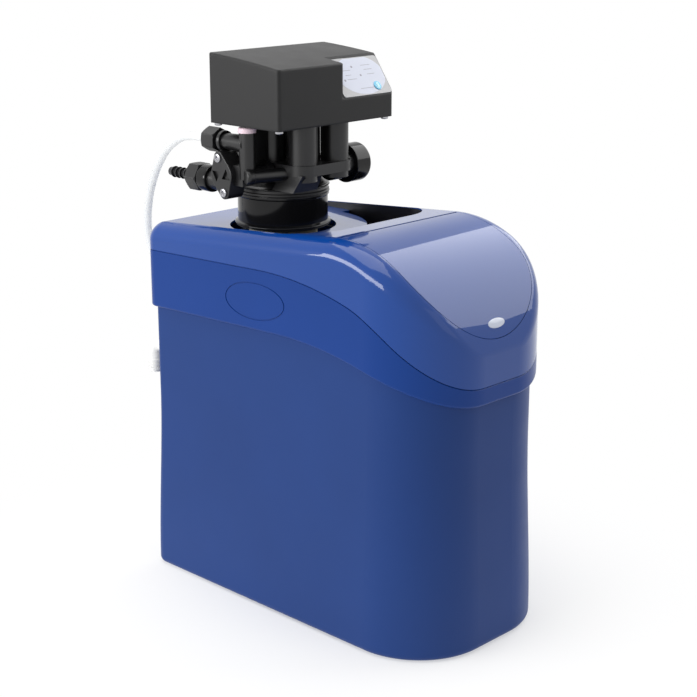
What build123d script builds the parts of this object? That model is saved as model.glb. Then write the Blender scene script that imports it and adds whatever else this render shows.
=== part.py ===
from build123d import *

import os
from math import atan2, cos, pi, radians, sin, sqrt, tan

# Compact cabinet water softener: cabinet, hood, pressure tank, piston valve and control head.
#
# The origin is on the floor under the middle of the cabinet. +Z is up, the salt lid faces -Y,
# and the valve stands over the tank near the rear (+Y). All lengths are in millimetres.

os.makedirs("parts", exist_ok=True)

# Shared allowances
wall = 3.0
seat_gap = 0.3
running = 0.05
overrun = 40.0
half_turn = 180
quarter_turn = 90
full_turn = 360

# Cabinet: a rounded rectangle with a slim waist, flared at the floor
cabinet_half_width = 112.5
cabinet_half_length = 215.7
front_corner = 83.0
rear_corner = 9.0
foot_flare = 7.0
flare_height = 230.0
foot_round = 8.0
rim_overlap = 14.0
flare_shares = (0, 0.25, 0.5, 0.75, 1)

# Apron band: its lower lip and the seam under the hood, both drawn from the side
band_overhang = 6.5
lip_crest_y = -8.0
lip_crest = 335.5
lip_rise_angle = 1.5
lip_fall_radius = 500.0
lip_fall_angle = 15.0
lip_nose_radius = 300.0
lip_nose_angle = 36.0
lip_height = 7.0
lip_thickness = 6.0
lip_round = 3.0
seam_crest_y = 15.0
seam_crest = 405.0
seam_rise_angle = 1.8
seam_fall_radius = 440.0
seam_fall_angle = 15.8
seam_nose_radius = 145.0
seam_nose_angle = 41.5
groove_height = 1.0
groove_depth = 1.2
shelf_width = 9.0
shelf_thickness = 3.0
oval_y = 33.0
oval_z = 368.0
oval_half_length = 48.0
oval_half_height = 21.5
oval_line = 1.6
oval_depth = 0.8
oval_tilt = -3.0

# Hood
crest_y = -79.0
crest_top = 452.5
crest_radius = 147.0
crest_fall_angle = 80.0
crest_run = 120.0
rear_top = 430.0
shoulder_round = 22.0

# Recess round the valve
deck_level = 429.0
recess_half_width = 103.0
recess_front = -44.0
recess_corner = 50.0
deck_radius = 98.0
pocket_depth = 18.0
neck_hole_radius = 62.0

# Salt lid
lid_half_width = 95.0
lid_straight = 78.0
lid_tilt = 38.4
lid_reach = 45.0
lid_gap = 0.6
lid_wall = 3.0
hinge_y = -78.0
hinge_clearance = 3.6
barrel_radius = 2.5
pin_radius = 1.5
pin_length = 6.0
ear_depth = 7.5
ear_half_length = 5.0
ledge_width = 8.0
ledge_thickness = 2.6
ledge_gap = 0.4

# Pressure tank and its foot
neck_x = -9.0
neck_y = 101.0
tank_radius = 92.0
tank_wall = 3.0
dome_share = 0.83
tank_low_side = 62.0
tank_high_side = 342.0
tank_shoulder = 404.0
tank_neck_radius = 40.0
tank_neck_bore = 33.0
tank_neck_top = 464.0
boot_radius = 97.0
boot_height = 66.0
boot_floor = 3.0
boot_gap = 0.5
riser_radius = 13.35
riser_wall = 2.0
riser_low = 34.0
basket_radius = 24.0
basket_height = 34.0
basket_wall = 2.0
basket_slots = 10
basket_slot_width = 3.0
upper_basket_height = 26.0

# Neck collar, seal and valve skirt
collar_low = 431.0
collar_top = 468.0
collar_radius = 52.5
collar_flange_radius = 55.5
collar_flange_height = 4.0
collar_gap = 0.35
seal_height = 3.0
seal_width = 5.0
skirt_radius = 54.0
skirt_height = 10.5
skirt_ledge = 1.4
ledge_height = 1.6
cone_base_radius = 50.0
cone_top_radius = 34.0
spigot_radius = 32.6
spigot_depth = 22.0

# Valve body
manifold_low = 497.0
manifold_top = 509.0
manifold_margin = 2.0
column_radius = 16.0
column_bore = 12.0
column_low = 490.0
column_foot_round = 8.0
column_pitch_x = 50.0
column_pitch_y = 50.8
column_front_y = 41.2
passage_radius = 6.0
web_radius = 2.0
web_y = 45.0
rear_web = 8.0
block_half_width = 19.0
block_top_half_width = 16.0
block_depth = 34.0
block_shift = 14.0
port_level = 500.0
port_radius = 13.2
port_root_radius = 14.0
port_bore = 9.5
port_flange_radius = 17.0
port_flange_y = 146.0
port_flange_length = 6.0
port_end_y = 176.0
side_port_radius = 17.0
side_port_y = 51.0
side_port_reach = 46.0
cap_radius = 22.5
cap_end_x = 66.0
cap_length = 24.0
cap_round = 4.0
cap_wall = 3.4

# Pistons, springs and pilot
piston_radius = 11.6
piston_height = 12.0
piston_low = 532.0
piston_travel = 8.0
piston_skirt = 4.0
piston_stem_radius = 3.0
piston_stem_length = 7.0
bore_floor = 514.0
spring_radius = 9.0
spring_wall = 1.6
pilot_boss_radius = 14.5
pilot_radius = 11.0
pilot_low = 536.0
pilot_top = 546.0
pilot_gap = 0.5
pilot_shaft_radius = 3.5

# Injector, brine and drain side
arm_x = -84.0
arm_y = 78.2
arm_radius = 8.5
arm_joint_x = -58.0
arm_flange_radius = 12.0
arm_flange = 4.0
stub_radius = 9.3
stub_low = 494.0
stub_top = 546.0
plug_radius = 10.2
plug_height = 6.0
plug_round = 2.0
plug_stem_radius = 6.0
plug_stem = 8.0
injector_y = 106.4
injector_z = 496.5
injector_radius = 17.0
injector_back_x = -76.0
injector_face_x = -92.0
lug_radius = 7.5
lug_y = 4.4
lug_z = 19.2
injector_cap_thickness = 7.0
injector_pocket_radius = 8.0
injector_pocket_depth = 3.0
screw_head_radius = 4.4
screw_head_height = 2.6
screw_shank_radius = 1.8
screw_shank_length = 14.0
screw_gap = 0.2
brine_level = 533.0
brine_nut_y = 122.3
brine_nut_length = 20.0
brine_nut_flats = 25.0
brine_thread_radius = 8.0
brine_arm_small = 8.4
brine_arm_large = 10.4
drain_x = -79.0
drain_level = 486.0
drain_arm_radius = 12.0
drain_nut_y = 157.0
drain_collar_length = 16.0
drain_collar_radius = 15.5
drain_collar_rib = 1.0
drain_nut_flats = 30.0
drain_nut_length = 18.0
barb_end_y = 217.0
barb_root = 4.9
barb_ridge = 6.7
barb_pitch = 7.5
barb_ridges = 5
barb_bore = 3.0
nut_gap = 0.3
bracket_thickness = 4.0
bracket_depth = 9.0

# Control head
head_left = -104.0
head_right = 76.0
head_front = 6.0
head_rear = 118.0
head_low = 555.5
head_top_front = 621.0
head_top_rear = 632.5
head_crown = 1.2
head_wall = 2.5
head_edge = 1.8
head_round = 4.0
display_left = -4.0
display_low = 581.5
display_angle = 54.8
base_thickness = 3.0
base_gap = 0.4
cover_screw_inset = 7.0
cover_screw_radius = 4.4
cover_screw_head = 3.6
cover_screw_shank = 1.6
cover_screw_length = 14.0
boss_radius = 5.0
boss_height = 16.0
overlay_thickness = 0.8
overlay_margin = 1.5
overlay_length = 48.0
overlay_corner = 3.0
button_inset = 20.0
button_up = 11.5
button_radius = 5.5
button_height = 6.5
button_proud = 1.8
button_travel = 1.0
button_gap = 0.35
button_flange = 1.5
button_flange_height = 1.2
board_depth = 9.0
board_thickness = 1.6
board_margin = 8.0
board_length = 36.0
switch_side = 7.0
post_radius = 2.5

# Drive gears
gear_module = 1.1
gear_teeth = 36
pinion_teeth = 12
gear_low = 575.0
gear_thickness = 6.0
addendum_share = 0.8
dedendum_share = 1.05
flank_shares = (0, 0.5, 1)
pressure_angle = 20.0
backlash = 0.35
hub_radius = 6.0
motor_radius = 15.0
motor_height = 12.0
motor_shaft_radius = 2.0
shaft_gap = 0.3

# Salt side of the cabinet
well_x = 60.0
well_y = -44.0
well_radius = 32.0
well_wall = 2.0
well_top = 300.0
well_slot_width = 4.0
well_slot_height = 20.0
well_slots = 8
well_cap_height = 8.0
cap_lap = 6.0
brine_pipe_radius = 5.0
brine_pipe_bore = 3.2
brine_pipe_top = 318.0
brine_valve_radius = 12.0
brine_valve_height = 40.0
float_radius = 20.0
float_height = 30.0
float_low = 90.0
float_travel = 60.0
clip_radius = 8.0
clip_height = 4.0
grid_level = 40.0
grid_thickness = 4.0
grid_gap = 1.0
grid_slot_length = 60.0
grid_slot_width = 6.0
grid_slot_pitch = 18.0
grid_leg_radius = 8.0
grid_leg_spread = 70.0

# Rear fittings and tubes
elbow_x = -88.0
elbow_z = 272.0
elbow_radius = 8.0
elbow_bore = 5.5
elbow_reach = 32.0
elbow_drop = 36.0
elbow_bend = 12.0
elbow_ridge = 1.2
elbow_ridges = 3
elbow_flange_radius = 15.0
elbow_flange = 3.0
elbow_thread_radius = 10.0
gasket_thickness = 1.5
elbow_nut_flats = 27.0
elbow_nut_length = 6.0
tube_radius = 4.75
tube_bore = 3.2
run_share = 0.45
inner_side_x = -94.0
inner_level = 386.0
inner_bend = 24.0
grommet_z = 372.0
grommet_radius = 9.0
grommet_flange = 2.0
grommet_neck = 7.0

# Places that several pieces share
neck_circle = Axis((neck_x, neck_y, 0), (0, 0, 1))
neck_plane = Plane(origin=(neck_x, neck_y, 0), x_dir=(1, 0, 0), z_dir=(0, -1, 0))
band_rear = cabinet_half_length + band_overhang
band_half_width = cabinet_half_width + band_overhang
rear_row = column_front_y + column_pitch_y
column_places = [
    (neck_x + side * column_pitch_x / 2, row)
    for row in (column_front_y, rear_row)
    for side in (-1, 1)
]
skirt_top = collar_top + skirt_height
hinge_z = crest_top - barrel_radius


def cabinet_plan(spread):
    """Plan of the cabinet, spread evenly: wide corners at the nose, small ones at the back."""
    half_width = cabinet_half_width + spread
    half_length = cabinet_half_length + spread
    with BuildSketch() as plan:
        with BuildLine():
            Polyline(
                (-half_width, -half_length),
                (half_width, -half_length),
                (half_width, half_length),
                (-half_width, half_length),
                close=True,
            )
        make_face()
        fillet(plan.vertices().group_by(Axis.Y)[0], radius=front_corner + spread)
        fillet(plan.vertices().group_by(Axis.Y)[-1], radius=rear_corner + spread)
    return plan.sketch


def cabinet_form(inset, low, top):
    """Cabinet wall surface as a closed form: flared at the floor by half a cosine wave."""
    with BuildPart() as form:
        for share in flare_shares:
            height = low + (flare_height - low) * share
            flare = foot_flare * (1 + cos(pi * height / flare_height)) / 2
            with BuildSketch(Plane.XY.offset(height)):
                add(cabinet_plan(flare - inset))
        loft()
        with BuildSketch(Plane.XY.offset(flare_height)):
            add(cabinet_plan(-inset))
        extrude(amount=top - flare_height)
    return form.part


def block_under(crest, rise_angle, fall_radius, fall_angle, nose_radius, nose_angle):
    """Everything below a side curve: it rises from the back, then falls in two arcs to the nose."""
    rise = radians(rise_angle)
    fall = radians(fall_angle)
    nose = radians(nose_angle)
    centre = (crest[0], crest[1] - fall_radius)
    start = (centre[0] + fall_radius * sin(rise), centre[1] + fall_radius * cos(rise))
    fall_end = (centre[0] - fall_radius * sin(fall), centre[1] + fall_radius * cos(fall))
    nose_centre = (fall_end[0] + nose_radius * sin(fall), fall_end[1] - nose_radius * cos(fall))
    middle = (fall + nose) / 2
    nose_middle = (
        nose_centre[0] - nose_radius * sin(middle),
        nose_centre[1] + nose_radius * cos(middle),
    )
    nose_end = (nose_centre[0] - nose_radius * sin(nose), nose_centre[1] + nose_radius * cos(nose))
    run = nose_end[0] + band_rear + overrun
    far = (nose_end[0] - run, nose_end[1] - run * tan(nose))
    back_y = band_rear + overrun
    back = (back_y, start[1] - (back_y - start[0]) * tan(rise))
    reach = band_half_width + overrun
    with BuildPart() as block:
        with BuildSketch(Plane.YZ.offset(-reach)):
            with BuildLine():
                Line(back, start)
                ThreePointArc(start, crest, fall_end)
                ThreePointArc(fall_end, nose_middle, nose_end)
                Polyline(nose_end, far, (far[0], 0), (back_y, 0), back)
            make_face()
        extrude(amount=reach * 2)
    return block.part


def under_lip(rise):
    """Everything below the lip curve raised by the given height."""
    crest = (lip_crest_y, lip_crest + rise)
    return block_under(
        crest, lip_rise_angle, lip_fall_radius, lip_fall_angle, lip_nose_radius, lip_nose_angle
    )


def under_seam(rise):
    """Everything below the seam curve raised by the given height."""
    crest = (seam_crest_y, seam_crest + rise)
    return block_under(
        crest, seam_rise_angle, seam_fall_radius, seam_fall_angle, seam_nose_radius, seam_nose_angle
    )


def hood_form(inset):
    """Closed form of the hood, drawn in evenly: a long crest, a round nose and soft shoulders."""
    radius = crest_radius - inset
    centre_z = crest_top - crest_radius
    slope = atan2(crest_top - rear_top, band_rear - crest_y)
    fall = radians(crest_fall_angle)
    back_y = band_rear + overrun
    slope_start = (crest_y + radius * sin(slope), centre_z + radius * cos(slope))
    back_z = slope_start[1] - tan(slope) * (back_y - slope_start[0])
    arc_middle = (crest_y - radius * sin(fall / 2), centre_z + radius * cos(fall / 2))
    arc_end = (crest_y - radius * sin(fall), centre_z + radius * cos(fall))
    low = (arc_end[0] - crest_run * cos(fall), arc_end[1] - crest_run * sin(fall))
    reach = band_half_width + overrun
    with BuildPart() as form:
        with BuildSketch():
            add(cabinet_plan(band_overhang - inset))
        extrude(amount=crest_top + overrun)
        with BuildSketch(Plane.YZ.offset(-reach)):
            with BuildLine():
                Line((back_y, back_z), slope_start)
                ThreePointArc(slope_start, arc_middle, arc_end)
                Polyline(arc_end, low, (low[0], 0), (back_y, 0), (back_y, back_z))
            make_face()
        extrude(amount=reach * 2, mode=Mode.INTERSECT)
        shoulder = form.edges().filter_by(
            lambda edge: edge.center().Z > lip_crest - overrun * 2 and abs(edge.tangent_at(0.5).Z) < 0.99
        )
        fillet(shoulder, radius=shoulder_round - inset)
    return form.part


def tongue(grow, rear):
    """Prism along the lid's tilt: straight sides and a half-round front, cut off at a rear line."""
    tilt = radians(lid_tilt)
    lid_plane = Plane(origin=(0, hinge_y, crest_top), x_dir=(1, 0, 0), z_dir=(0, -sin(tilt), cos(tilt)))
    half_width = lid_half_width + grow
    with BuildPart() as prism:
        with BuildSketch(lid_plane.offset(-lid_reach)):
            with BuildLine():
                Polyline(
                    (-half_width, -lid_straight),
                    (-half_width, lid_reach),
                    (half_width, lid_reach),
                    (half_width, -lid_straight),
                )
                ThreePointArc(
                    (half_width, -lid_straight),
                    (0, -lid_straight - half_width),
                    (-half_width, -lid_straight),
                )
            make_face()
        extrude(amount=lid_reach * 2)
        split(bisect_by=Plane.XZ.offset(-rear), keep=Keep.TOP)
    return prism.part


def turned_about(plane, points):
    """Solid turned about the plane's own Y axis from an outline of (radius, height) points."""
    with BuildPart() as solid:
        with BuildSketch(plane):
            with BuildLine():
                Polyline(*points, close=True)
            make_face()
        revolve(axis=Axis(plane.origin, plane.y_dir))
    return solid.part


def gear_outline(teeth, turn):
    """Involute spur gear outline: flanks unwound from the base circle, thinned by the backlash."""
    pitch = gear_module * teeth / 2
    base = pitch * cos(radians(pressure_angle))
    tip = pitch + gear_module * addendum_share
    root = pitch - gear_module * dedendum_share
    low = max(base, root)
    pitch_angle = tan(radians(pressure_angle)) - radians(pressure_angle)
    half_tooth = pi / (2 * teeth) - backlash / (2 * pitch)
    points = []
    for tooth in range(teeth):
        middle = turn + tooth * 2 * pi / teeth
        flank = []
        for share in flank_shares:
            radius = low + (tip - low) * share
            unwound = sqrt((radius / base) ** 2 - 1)
            angle = half_tooth + pitch_angle - (unwound - atan2(unwound, 1))
            flank.append((radius, angle))
        side = flank if root > low - running else [(root, flank[0][1])] + flank
        for radius, angle in side:
            points.append((radius * cos(middle - angle), radius * sin(middle - angle)))
        for radius, angle in reversed(side):
            points.append((radius * cos(middle + angle), radius * sin(middle + angle)))
    return points



# Cabinet body: one moulded tub with its rim under the apron
with BuildPart() as cabinet_body:
    add(cabinet_form(0, 0, seam_crest))
    fillet(cabinet_body.faces().sort_by(Axis.Z)[0].edges(), radius=foot_round)
    add(under_lip(rim_overlap), mode=Mode.INTERSECT)
    add(cabinet_form(wall, wall, seam_crest + overrun), mode=Mode.SUBTRACT)
    with BuildSketch(Plane.XZ.offset(-cabinet_half_length - overrun)):
        with Locations((elbow_x, elbow_z)):
            Circle(elbow_thread_radius + seat_gap)
    extrude(amount=overrun * 2, mode=Mode.SUBTRACT)
cabinet_body.part.label = "cabinet_body"
export_step(cabinet_body.part, "parts/cabinet_body.step")

# Apron band: rounded lip below, an inner shelf on the cabinet rim, a dark groove at the seam
lip_block = under_lip(0)
lip_top_block = under_lip(lip_height)
shelf_block = under_lip(rim_overlap + seat_gap)
shelf_top_block = under_lip(rim_overlap + seat_gap + shelf_thickness)
with BuildPart() as lip_core:
    with BuildSketch():
        add(cabinet_plan(band_overhang - wall))
    extrude(amount=crest_top)
    add(lip_top_block, mode=Mode.SUBTRACT)
with BuildPart() as lip_hole:
    with BuildSketch():
        add(cabinet_plan(band_overhang - lip_thickness))
    extrude(amount=crest_top)
with BuildPart() as shelf:
    with BuildSketch():
        add(cabinet_plan(band_overhang - wall / 2))
        add(cabinet_plan(band_overhang - wall - shelf_width), mode=Mode.SUBTRACT)
    extrude(amount=crest_top)
    add(shelf_top_block, mode=Mode.INTERSECT)
    add(shelf_block, mode=Mode.SUBTRACT)
with BuildPart() as seam_rebate:
    with BuildSketch():
        add(cabinet_plan(band_overhang + overrun))
        add(cabinet_plan(band_overhang - groove_depth), mode=Mode.SUBTRACT)
    extrude(amount=crest_top)
    add(under_seam(-seat_gap - groove_height), mode=Mode.SUBTRACT)
with BuildPart() as hood_apron:
    with BuildSketch():
        add(cabinet_plan(band_overhang))
    extrude(amount=crest_top)
    add(under_seam(-seat_gap), mode=Mode.INTERSECT)
    add(lip_block, mode=Mode.SUBTRACT)
    lip_edges = hood_apron.edges().filter_by(
        lambda edge: lip_top_block.is_inside(edge.center()) and abs(edge.tangent_at(0.5).Z) < 0.95
    )
    fillet(lip_edges, radius=lip_round)
    add(lip_hole.part, mode=Mode.SUBTRACT)
    add(lip_core.part, mode=Mode.SUBTRACT)
    add(seam_rebate.part, mode=Mode.SUBTRACT)
    add(shelf.part)
    with BuildSketch(Plane.YZ.offset(-band_half_width)):
        with Locations(Location((oval_y, oval_z, 0), (0, 0, oval_tilt))):
            Ellipse(oval_half_length, oval_half_height)
            Ellipse(oval_half_length - oval_line, oval_half_height - oval_line, mode=Mode.SUBTRACT)
    extrude(amount=oval_depth, mode=Mode.SUBTRACT)
    with BuildSketch(Plane.XZ.offset(-band_rear - overrun)):
        with Locations((arm_x, grommet_z)):
            Circle(grommet_neck + seat_gap)
    extrude(amount=overrun * 2, mode=Mode.SUBTRACT)
hood_apron.part.label = "hood_apron"
export_step(hood_apron.part, "parts/hood_apron.step")

# Hood: moulded shell with the recess for the valve at the back and the lid's seat in the nose
hood_outer = hood_form(0)
hood_inner = hood_form(wall)
lid_under = hood_form(lid_wall)
lid_seat = hood_form(lid_wall + ledge_gap)
seat_under = hood_form(lid_wall + ledge_gap + ledge_thickness)


def recess_plan(grow):
    """Plan of the recess: two rounded front corners, open at the back."""
    half_width = recess_half_width + grow
    with BuildSketch() as plan:
        with BuildLine():
            Polyline(
                (-half_width, recess_front - grow),
                (half_width, recess_front - grow),
                (half_width, band_rear + overrun),
                (-half_width, band_rear + overrun),
                close=True,
            )
        make_face()
        fillet(plan.vertices().group_by(Axis.Y)[0], radius=recess_corner + grow)
    return plan.sketch


def pocket_plan(grow):
    """Part of the recess in front of the round deck, where the floor drops."""
    with BuildSketch() as plan:
        add(recess_plan(grow))
        with Locations((neck_x, neck_y)):
            Circle(deck_radius - grow, mode=Mode.SUBTRACT)
        with Locations((0, neck_y)):
            Rectangle(
                band_half_width * 2,
                (band_rear + overrun) * 2,
                align=(Align.CENTER, Align.MIN),
                mode=Mode.SUBTRACT,
            )
    return plan.sketch


with BuildPart() as tub:
    with BuildSketch(Plane.XY.offset(deck_level - wall)):
        add(recess_plan(wall))
    extrude(amount=crest_top - deck_level + wall)
    with BuildSketch(Plane.XY.offset(deck_level - pocket_depth - wall)):
        add(pocket_plan(wall))
    extrude(amount=pocket_depth)
    add(hood_outer, mode=Mode.INTERSECT)
with BuildPart() as lid_frame:
    add(tongue(wall, hinge_y + hinge_clearance + wall))
    add(hood_outer, mode=Mode.INTERSECT)
    add(seat_under, mode=Mode.SUBTRACT)
with BuildPart() as lid_pocket:
    add(tongue(0, hinge_y + hinge_clearance))
    add(lid_seat, mode=Mode.SUBTRACT)
with BuildPart() as hood_cover:
    add(hood_outer)
    add(hood_inner, mode=Mode.SUBTRACT)
    add(tub.part)
    add(lid_frame.part)
    with Locations((0, hinge_y, hinge_z)):
        with GridLocations((lid_half_width + pin_length + wall / 2) * 2, ear_depth, 2, 1):
            Box(
                pin_length * 2,
                ear_half_length * 2,
                ear_depth,
                align=(Align.CENTER, Align.CENTER, Align.MAX),
            )
    add(under_seam(0), mode=Mode.SUBTRACT)
    add(lid_pocket.part, mode=Mode.SUBTRACT)
    add(tongue(-ledge_width, hinge_y + hinge_clearance), mode=Mode.SUBTRACT)
    with Locations((0, hinge_y + hinge_clearance, crest_top)):
        Box(
            lid_half_width * 2,
            hinge_clearance * 2 + barrel_radius,
            (barrel_radius * 2 + ledge_thickness) * 2,
            align=(Align.CENTER, Align.MAX, Align.CENTER),
            mode=Mode.SUBTRACT,
        )
    with BuildSketch(Plane.YZ.offset(-lid_half_width - pin_length)):
        with Locations((hinge_y, hinge_z)):
            Circle(pin_radius + running)
    extrude(amount=(lid_half_width + pin_length) * 2, mode=Mode.SUBTRACT)
    with BuildSketch(Plane.XY.offset(deck_level)):
        add(recess_plan(0))
    extrude(amount=overrun, mode=Mode.SUBTRACT)
    with BuildSketch(Plane.XY.offset(deck_level - pocket_depth)):
        add(pocket_plan(0))
    extrude(amount=pocket_depth, mode=Mode.SUBTRACT)
    with BuildSketch(Plane.XY.offset(deck_level - overrun / 2)):
        with Locations((neck_x, neck_y)):
            Circle(neck_hole_radius)
    extrude(amount=overrun, mode=Mode.SUBTRACT)
hood_cover.part.label = "hood_cover"
export_step(hood_cover.part, "parts/hood_cover.step")

# Salt lid: flush shell on the nose with a rolled rear edge and two stub pins
with BuildPart() as salt_lid:
    add(tongue(-lid_gap, hinge_y))
    add(hood_outer, mode=Mode.INTERSECT)
    add(lid_under, mode=Mode.SUBTRACT)
    with BuildSketch(Plane.YZ.offset(-lid_half_width + lid_gap)):
        with Locations((hinge_y, hinge_z)):
            Circle(barrel_radius)
    extrude(amount=(lid_half_width - lid_gap) * 2)
    with BuildSketch(Plane.YZ.offset(-lid_half_width - pin_length + lid_gap)):
        with Locations((hinge_y, hinge_z)):
            Circle(pin_radius)
    extrude(amount=(lid_half_width + pin_length - lid_gap) * 2)
salt_lid.part.label = "salt_lid"
export_step(salt_lid.part, "parts/salt_lid.step")

# Pressure tank: domed shell with a threaded neck
with BuildPart() as resin_tank:
    with BuildSketch(neck_plane):
        with BuildLine():
            bottom = wall + boot_floor + seat_gap
            Polyline((0, bottom), (tank_neck_bore, bottom))
            ThreePointArc(
                (tank_neck_bore, bottom),
                (tank_radius * dome_share, (bottom + tank_low_side) / 2 - wall),
                (tank_radius, tank_low_side),
            )
            Line((tank_radius, tank_low_side), (tank_radius, tank_high_side))
            ThreePointArc(
                (tank_radius, tank_high_side),
                (tank_radius * dome_share, (tank_high_side + tank_shoulder) / 2 + wall),
                (tank_neck_radius, tank_shoulder),
            )
            Polyline(
                (tank_neck_radius, tank_shoulder),
                (tank_neck_radius, tank_neck_top),
                (tank_neck_bore, tank_neck_top),
                (tank_neck_bore, tank_shoulder - tank_wall),
            )
            ThreePointArc(
                (tank_neck_bore, tank_shoulder - tank_wall),
                (tank_radius * dome_share - tank_wall, (tank_high_side + tank_shoulder) / 2),
                (tank_radius - tank_wall, tank_high_side),
            )
            Line((tank_radius - tank_wall, tank_high_side), (tank_radius - tank_wall, tank_low_side))
            ThreePointArc(
                (tank_radius - tank_wall, tank_low_side),
                (tank_radius * dome_share - tank_wall, (bottom + tank_low_side) / 2),
                (tank_neck_bore, bottom + tank_wall),
            )
            Polyline((tank_neck_bore, bottom + tank_wall), (0, bottom + tank_wall), (0, bottom))
        make_face()
    revolve(axis=neck_circle)
resin_tank.part.label = "resin_tank"
export_step(resin_tank.part, "parts/resin_tank.step")

# Tank foot: a cup that the lower dome stands in
boot_inner = tank_radius + boot_gap
with BuildPart() as tank_foot:
    with Locations((neck_x, neck_y, wall)):
        Cylinder(boot_radius, boot_height, align=(Align.CENTER, Align.CENTER, Align.MIN))
    fillet(tank_foot.edges().group_by(Axis.Z)[0], radius=boot_floor)
    with Locations((neck_x, neck_y, wall + boot_floor)):
        Cylinder(
            boot_inner,
            boot_height,
            align=(Align.CENTER, Align.CENTER, Align.MIN),
            mode=Mode.SUBTRACT,
        )
tank_foot.part.label = "tank_foot"
export_step(tank_foot.part, "parts/tank_foot.step")

# Riser tube with a slotted strainer at each end
riser_top = collar_top - spigot_depth + column_radius
with BuildPart() as riser_tube:
    with BuildSketch(Plane.XY.offset(riser_low)):
        with Locations((neck_x, neck_y)):
            Circle(riser_radius)
            Circle(riser_radius - riser_wall, mode=Mode.SUBTRACT)
    extrude(amount=riser_top - riser_low)
riser_tube.part.label = "riser_tube"
export_step(riser_tube.part, "parts/riser_tube.step")

basket_low = wall + boot_floor + seat_gap * 2 + tank_wall
with BuildPart() as lower_basket:
    with Locations((neck_x, neck_y, basket_low)):
        Cylinder(basket_radius, basket_height, align=(Align.CENTER, Align.CENTER, Align.MIN))
    fillet(lower_basket.edges().group_by(Axis.Z)[0], radius=basket_wall * 3)
    with Locations((neck_x, neck_y, basket_low + basket_wall)):
        Cylinder(
            basket_radius - basket_wall,
            basket_height - basket_wall * 2,
            align=(Align.CENTER, Align.CENTER, Align.MIN),
            mode=Mode.SUBTRACT,
        )
    with Locations((neck_x, neck_y, riser_low)):
        Cylinder(
            riser_radius + seat_gap,
            basket_height,
            align=(Align.CENTER, Align.CENTER, Align.MIN),
            mode=Mode.SUBTRACT,
        )
    with Locations((neck_x, neck_y, basket_low + basket_height / 2)):
        with PolarLocations(0, basket_slots, angular_range=half_turn):
            Box(basket_radius * 3, basket_slot_width, basket_height / 2, mode=Mode.SUBTRACT)
lower_basket.part.label = "lower_basket"
export_step(lower_basket.part, "parts/lower_basket.step")

spigot_low = collar_top - spigot_depth
with BuildPart() as upper_basket:
    with BuildSketch(Plane.XY.offset(spigot_low - upper_basket_height)):
        with Locations((neck_x, neck_y)):
            Circle(basket_radius)
            Circle(riser_radius + seat_gap, mode=Mode.SUBTRACT)
    extrude(amount=upper_basket_height)
    with BuildSketch(Plane.XY.offset(spigot_low - upper_basket_height + basket_wall)):
        with Locations((neck_x, neck_y)):
            Circle(basket_radius - basket_wall)
            Circle(riser_radius + seat_gap + basket_wall, mode=Mode.SUBTRACT)
    extrude(amount=upper_basket_height - basket_wall * 2, mode=Mode.SUBTRACT)
    with Locations((neck_x, neck_y, spigot_low - upper_basket_height / 2)):
        with PolarLocations(basket_radius, basket_slots):
            Box(basket_wall * 3, basket_slot_width, upper_basket_height / 2, mode=Mode.SUBTRACT)
upper_basket.part.label = "upper_basket"
export_step(upper_basket.part, "parts/upper_basket.step")

# Neck collar: smooth ring round the tank neck with a foot flange and a rolled top
with BuildPart() as neck_collar:
    with BuildSketch(neck_plane):
        with BuildLine():
            Polyline(
                (tank_neck_radius + collar_gap, collar_low),
                (collar_flange_radius, collar_low),
                (collar_flange_radius, collar_low + collar_flange_height),
                (collar_radius, collar_low + collar_flange_height + skirt_ledge),
                (collar_radius, collar_top - ledge_height * 2),
                (collar_radius + skirt_ledge, collar_top - ledge_height),
                (collar_radius + skirt_ledge, collar_top),
                (tank_neck_radius + seal_width, collar_top),
                (tank_neck_radius + seal_width, tank_neck_top - ledge_height),
                (tank_neck_radius + collar_gap, tank_neck_top - ledge_height),
                close=True,
            )
        make_face()
    revolve(axis=neck_circle)
neck_collar.part.label = "neck_collar"
export_step(neck_collar.part, "parts/neck_collar.step")

# Flat ring seal between the tank neck and the valve
with BuildPart() as neck_seal:
    with BuildSketch(Plane.XY.offset(tank_neck_top)):
        with Locations((neck_x, neck_y)):
            Circle(tank_neck_radius + seal_width - seat_gap)
            Circle(tank_neck_bore + seat_gap, mode=Mode.SUBTRACT)
    extrude(amount=collar_top - tank_neck_top)
neck_seal.part.label = "neck_seal"
export_step(neck_seal.part, "parts/neck_seal.step")

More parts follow.
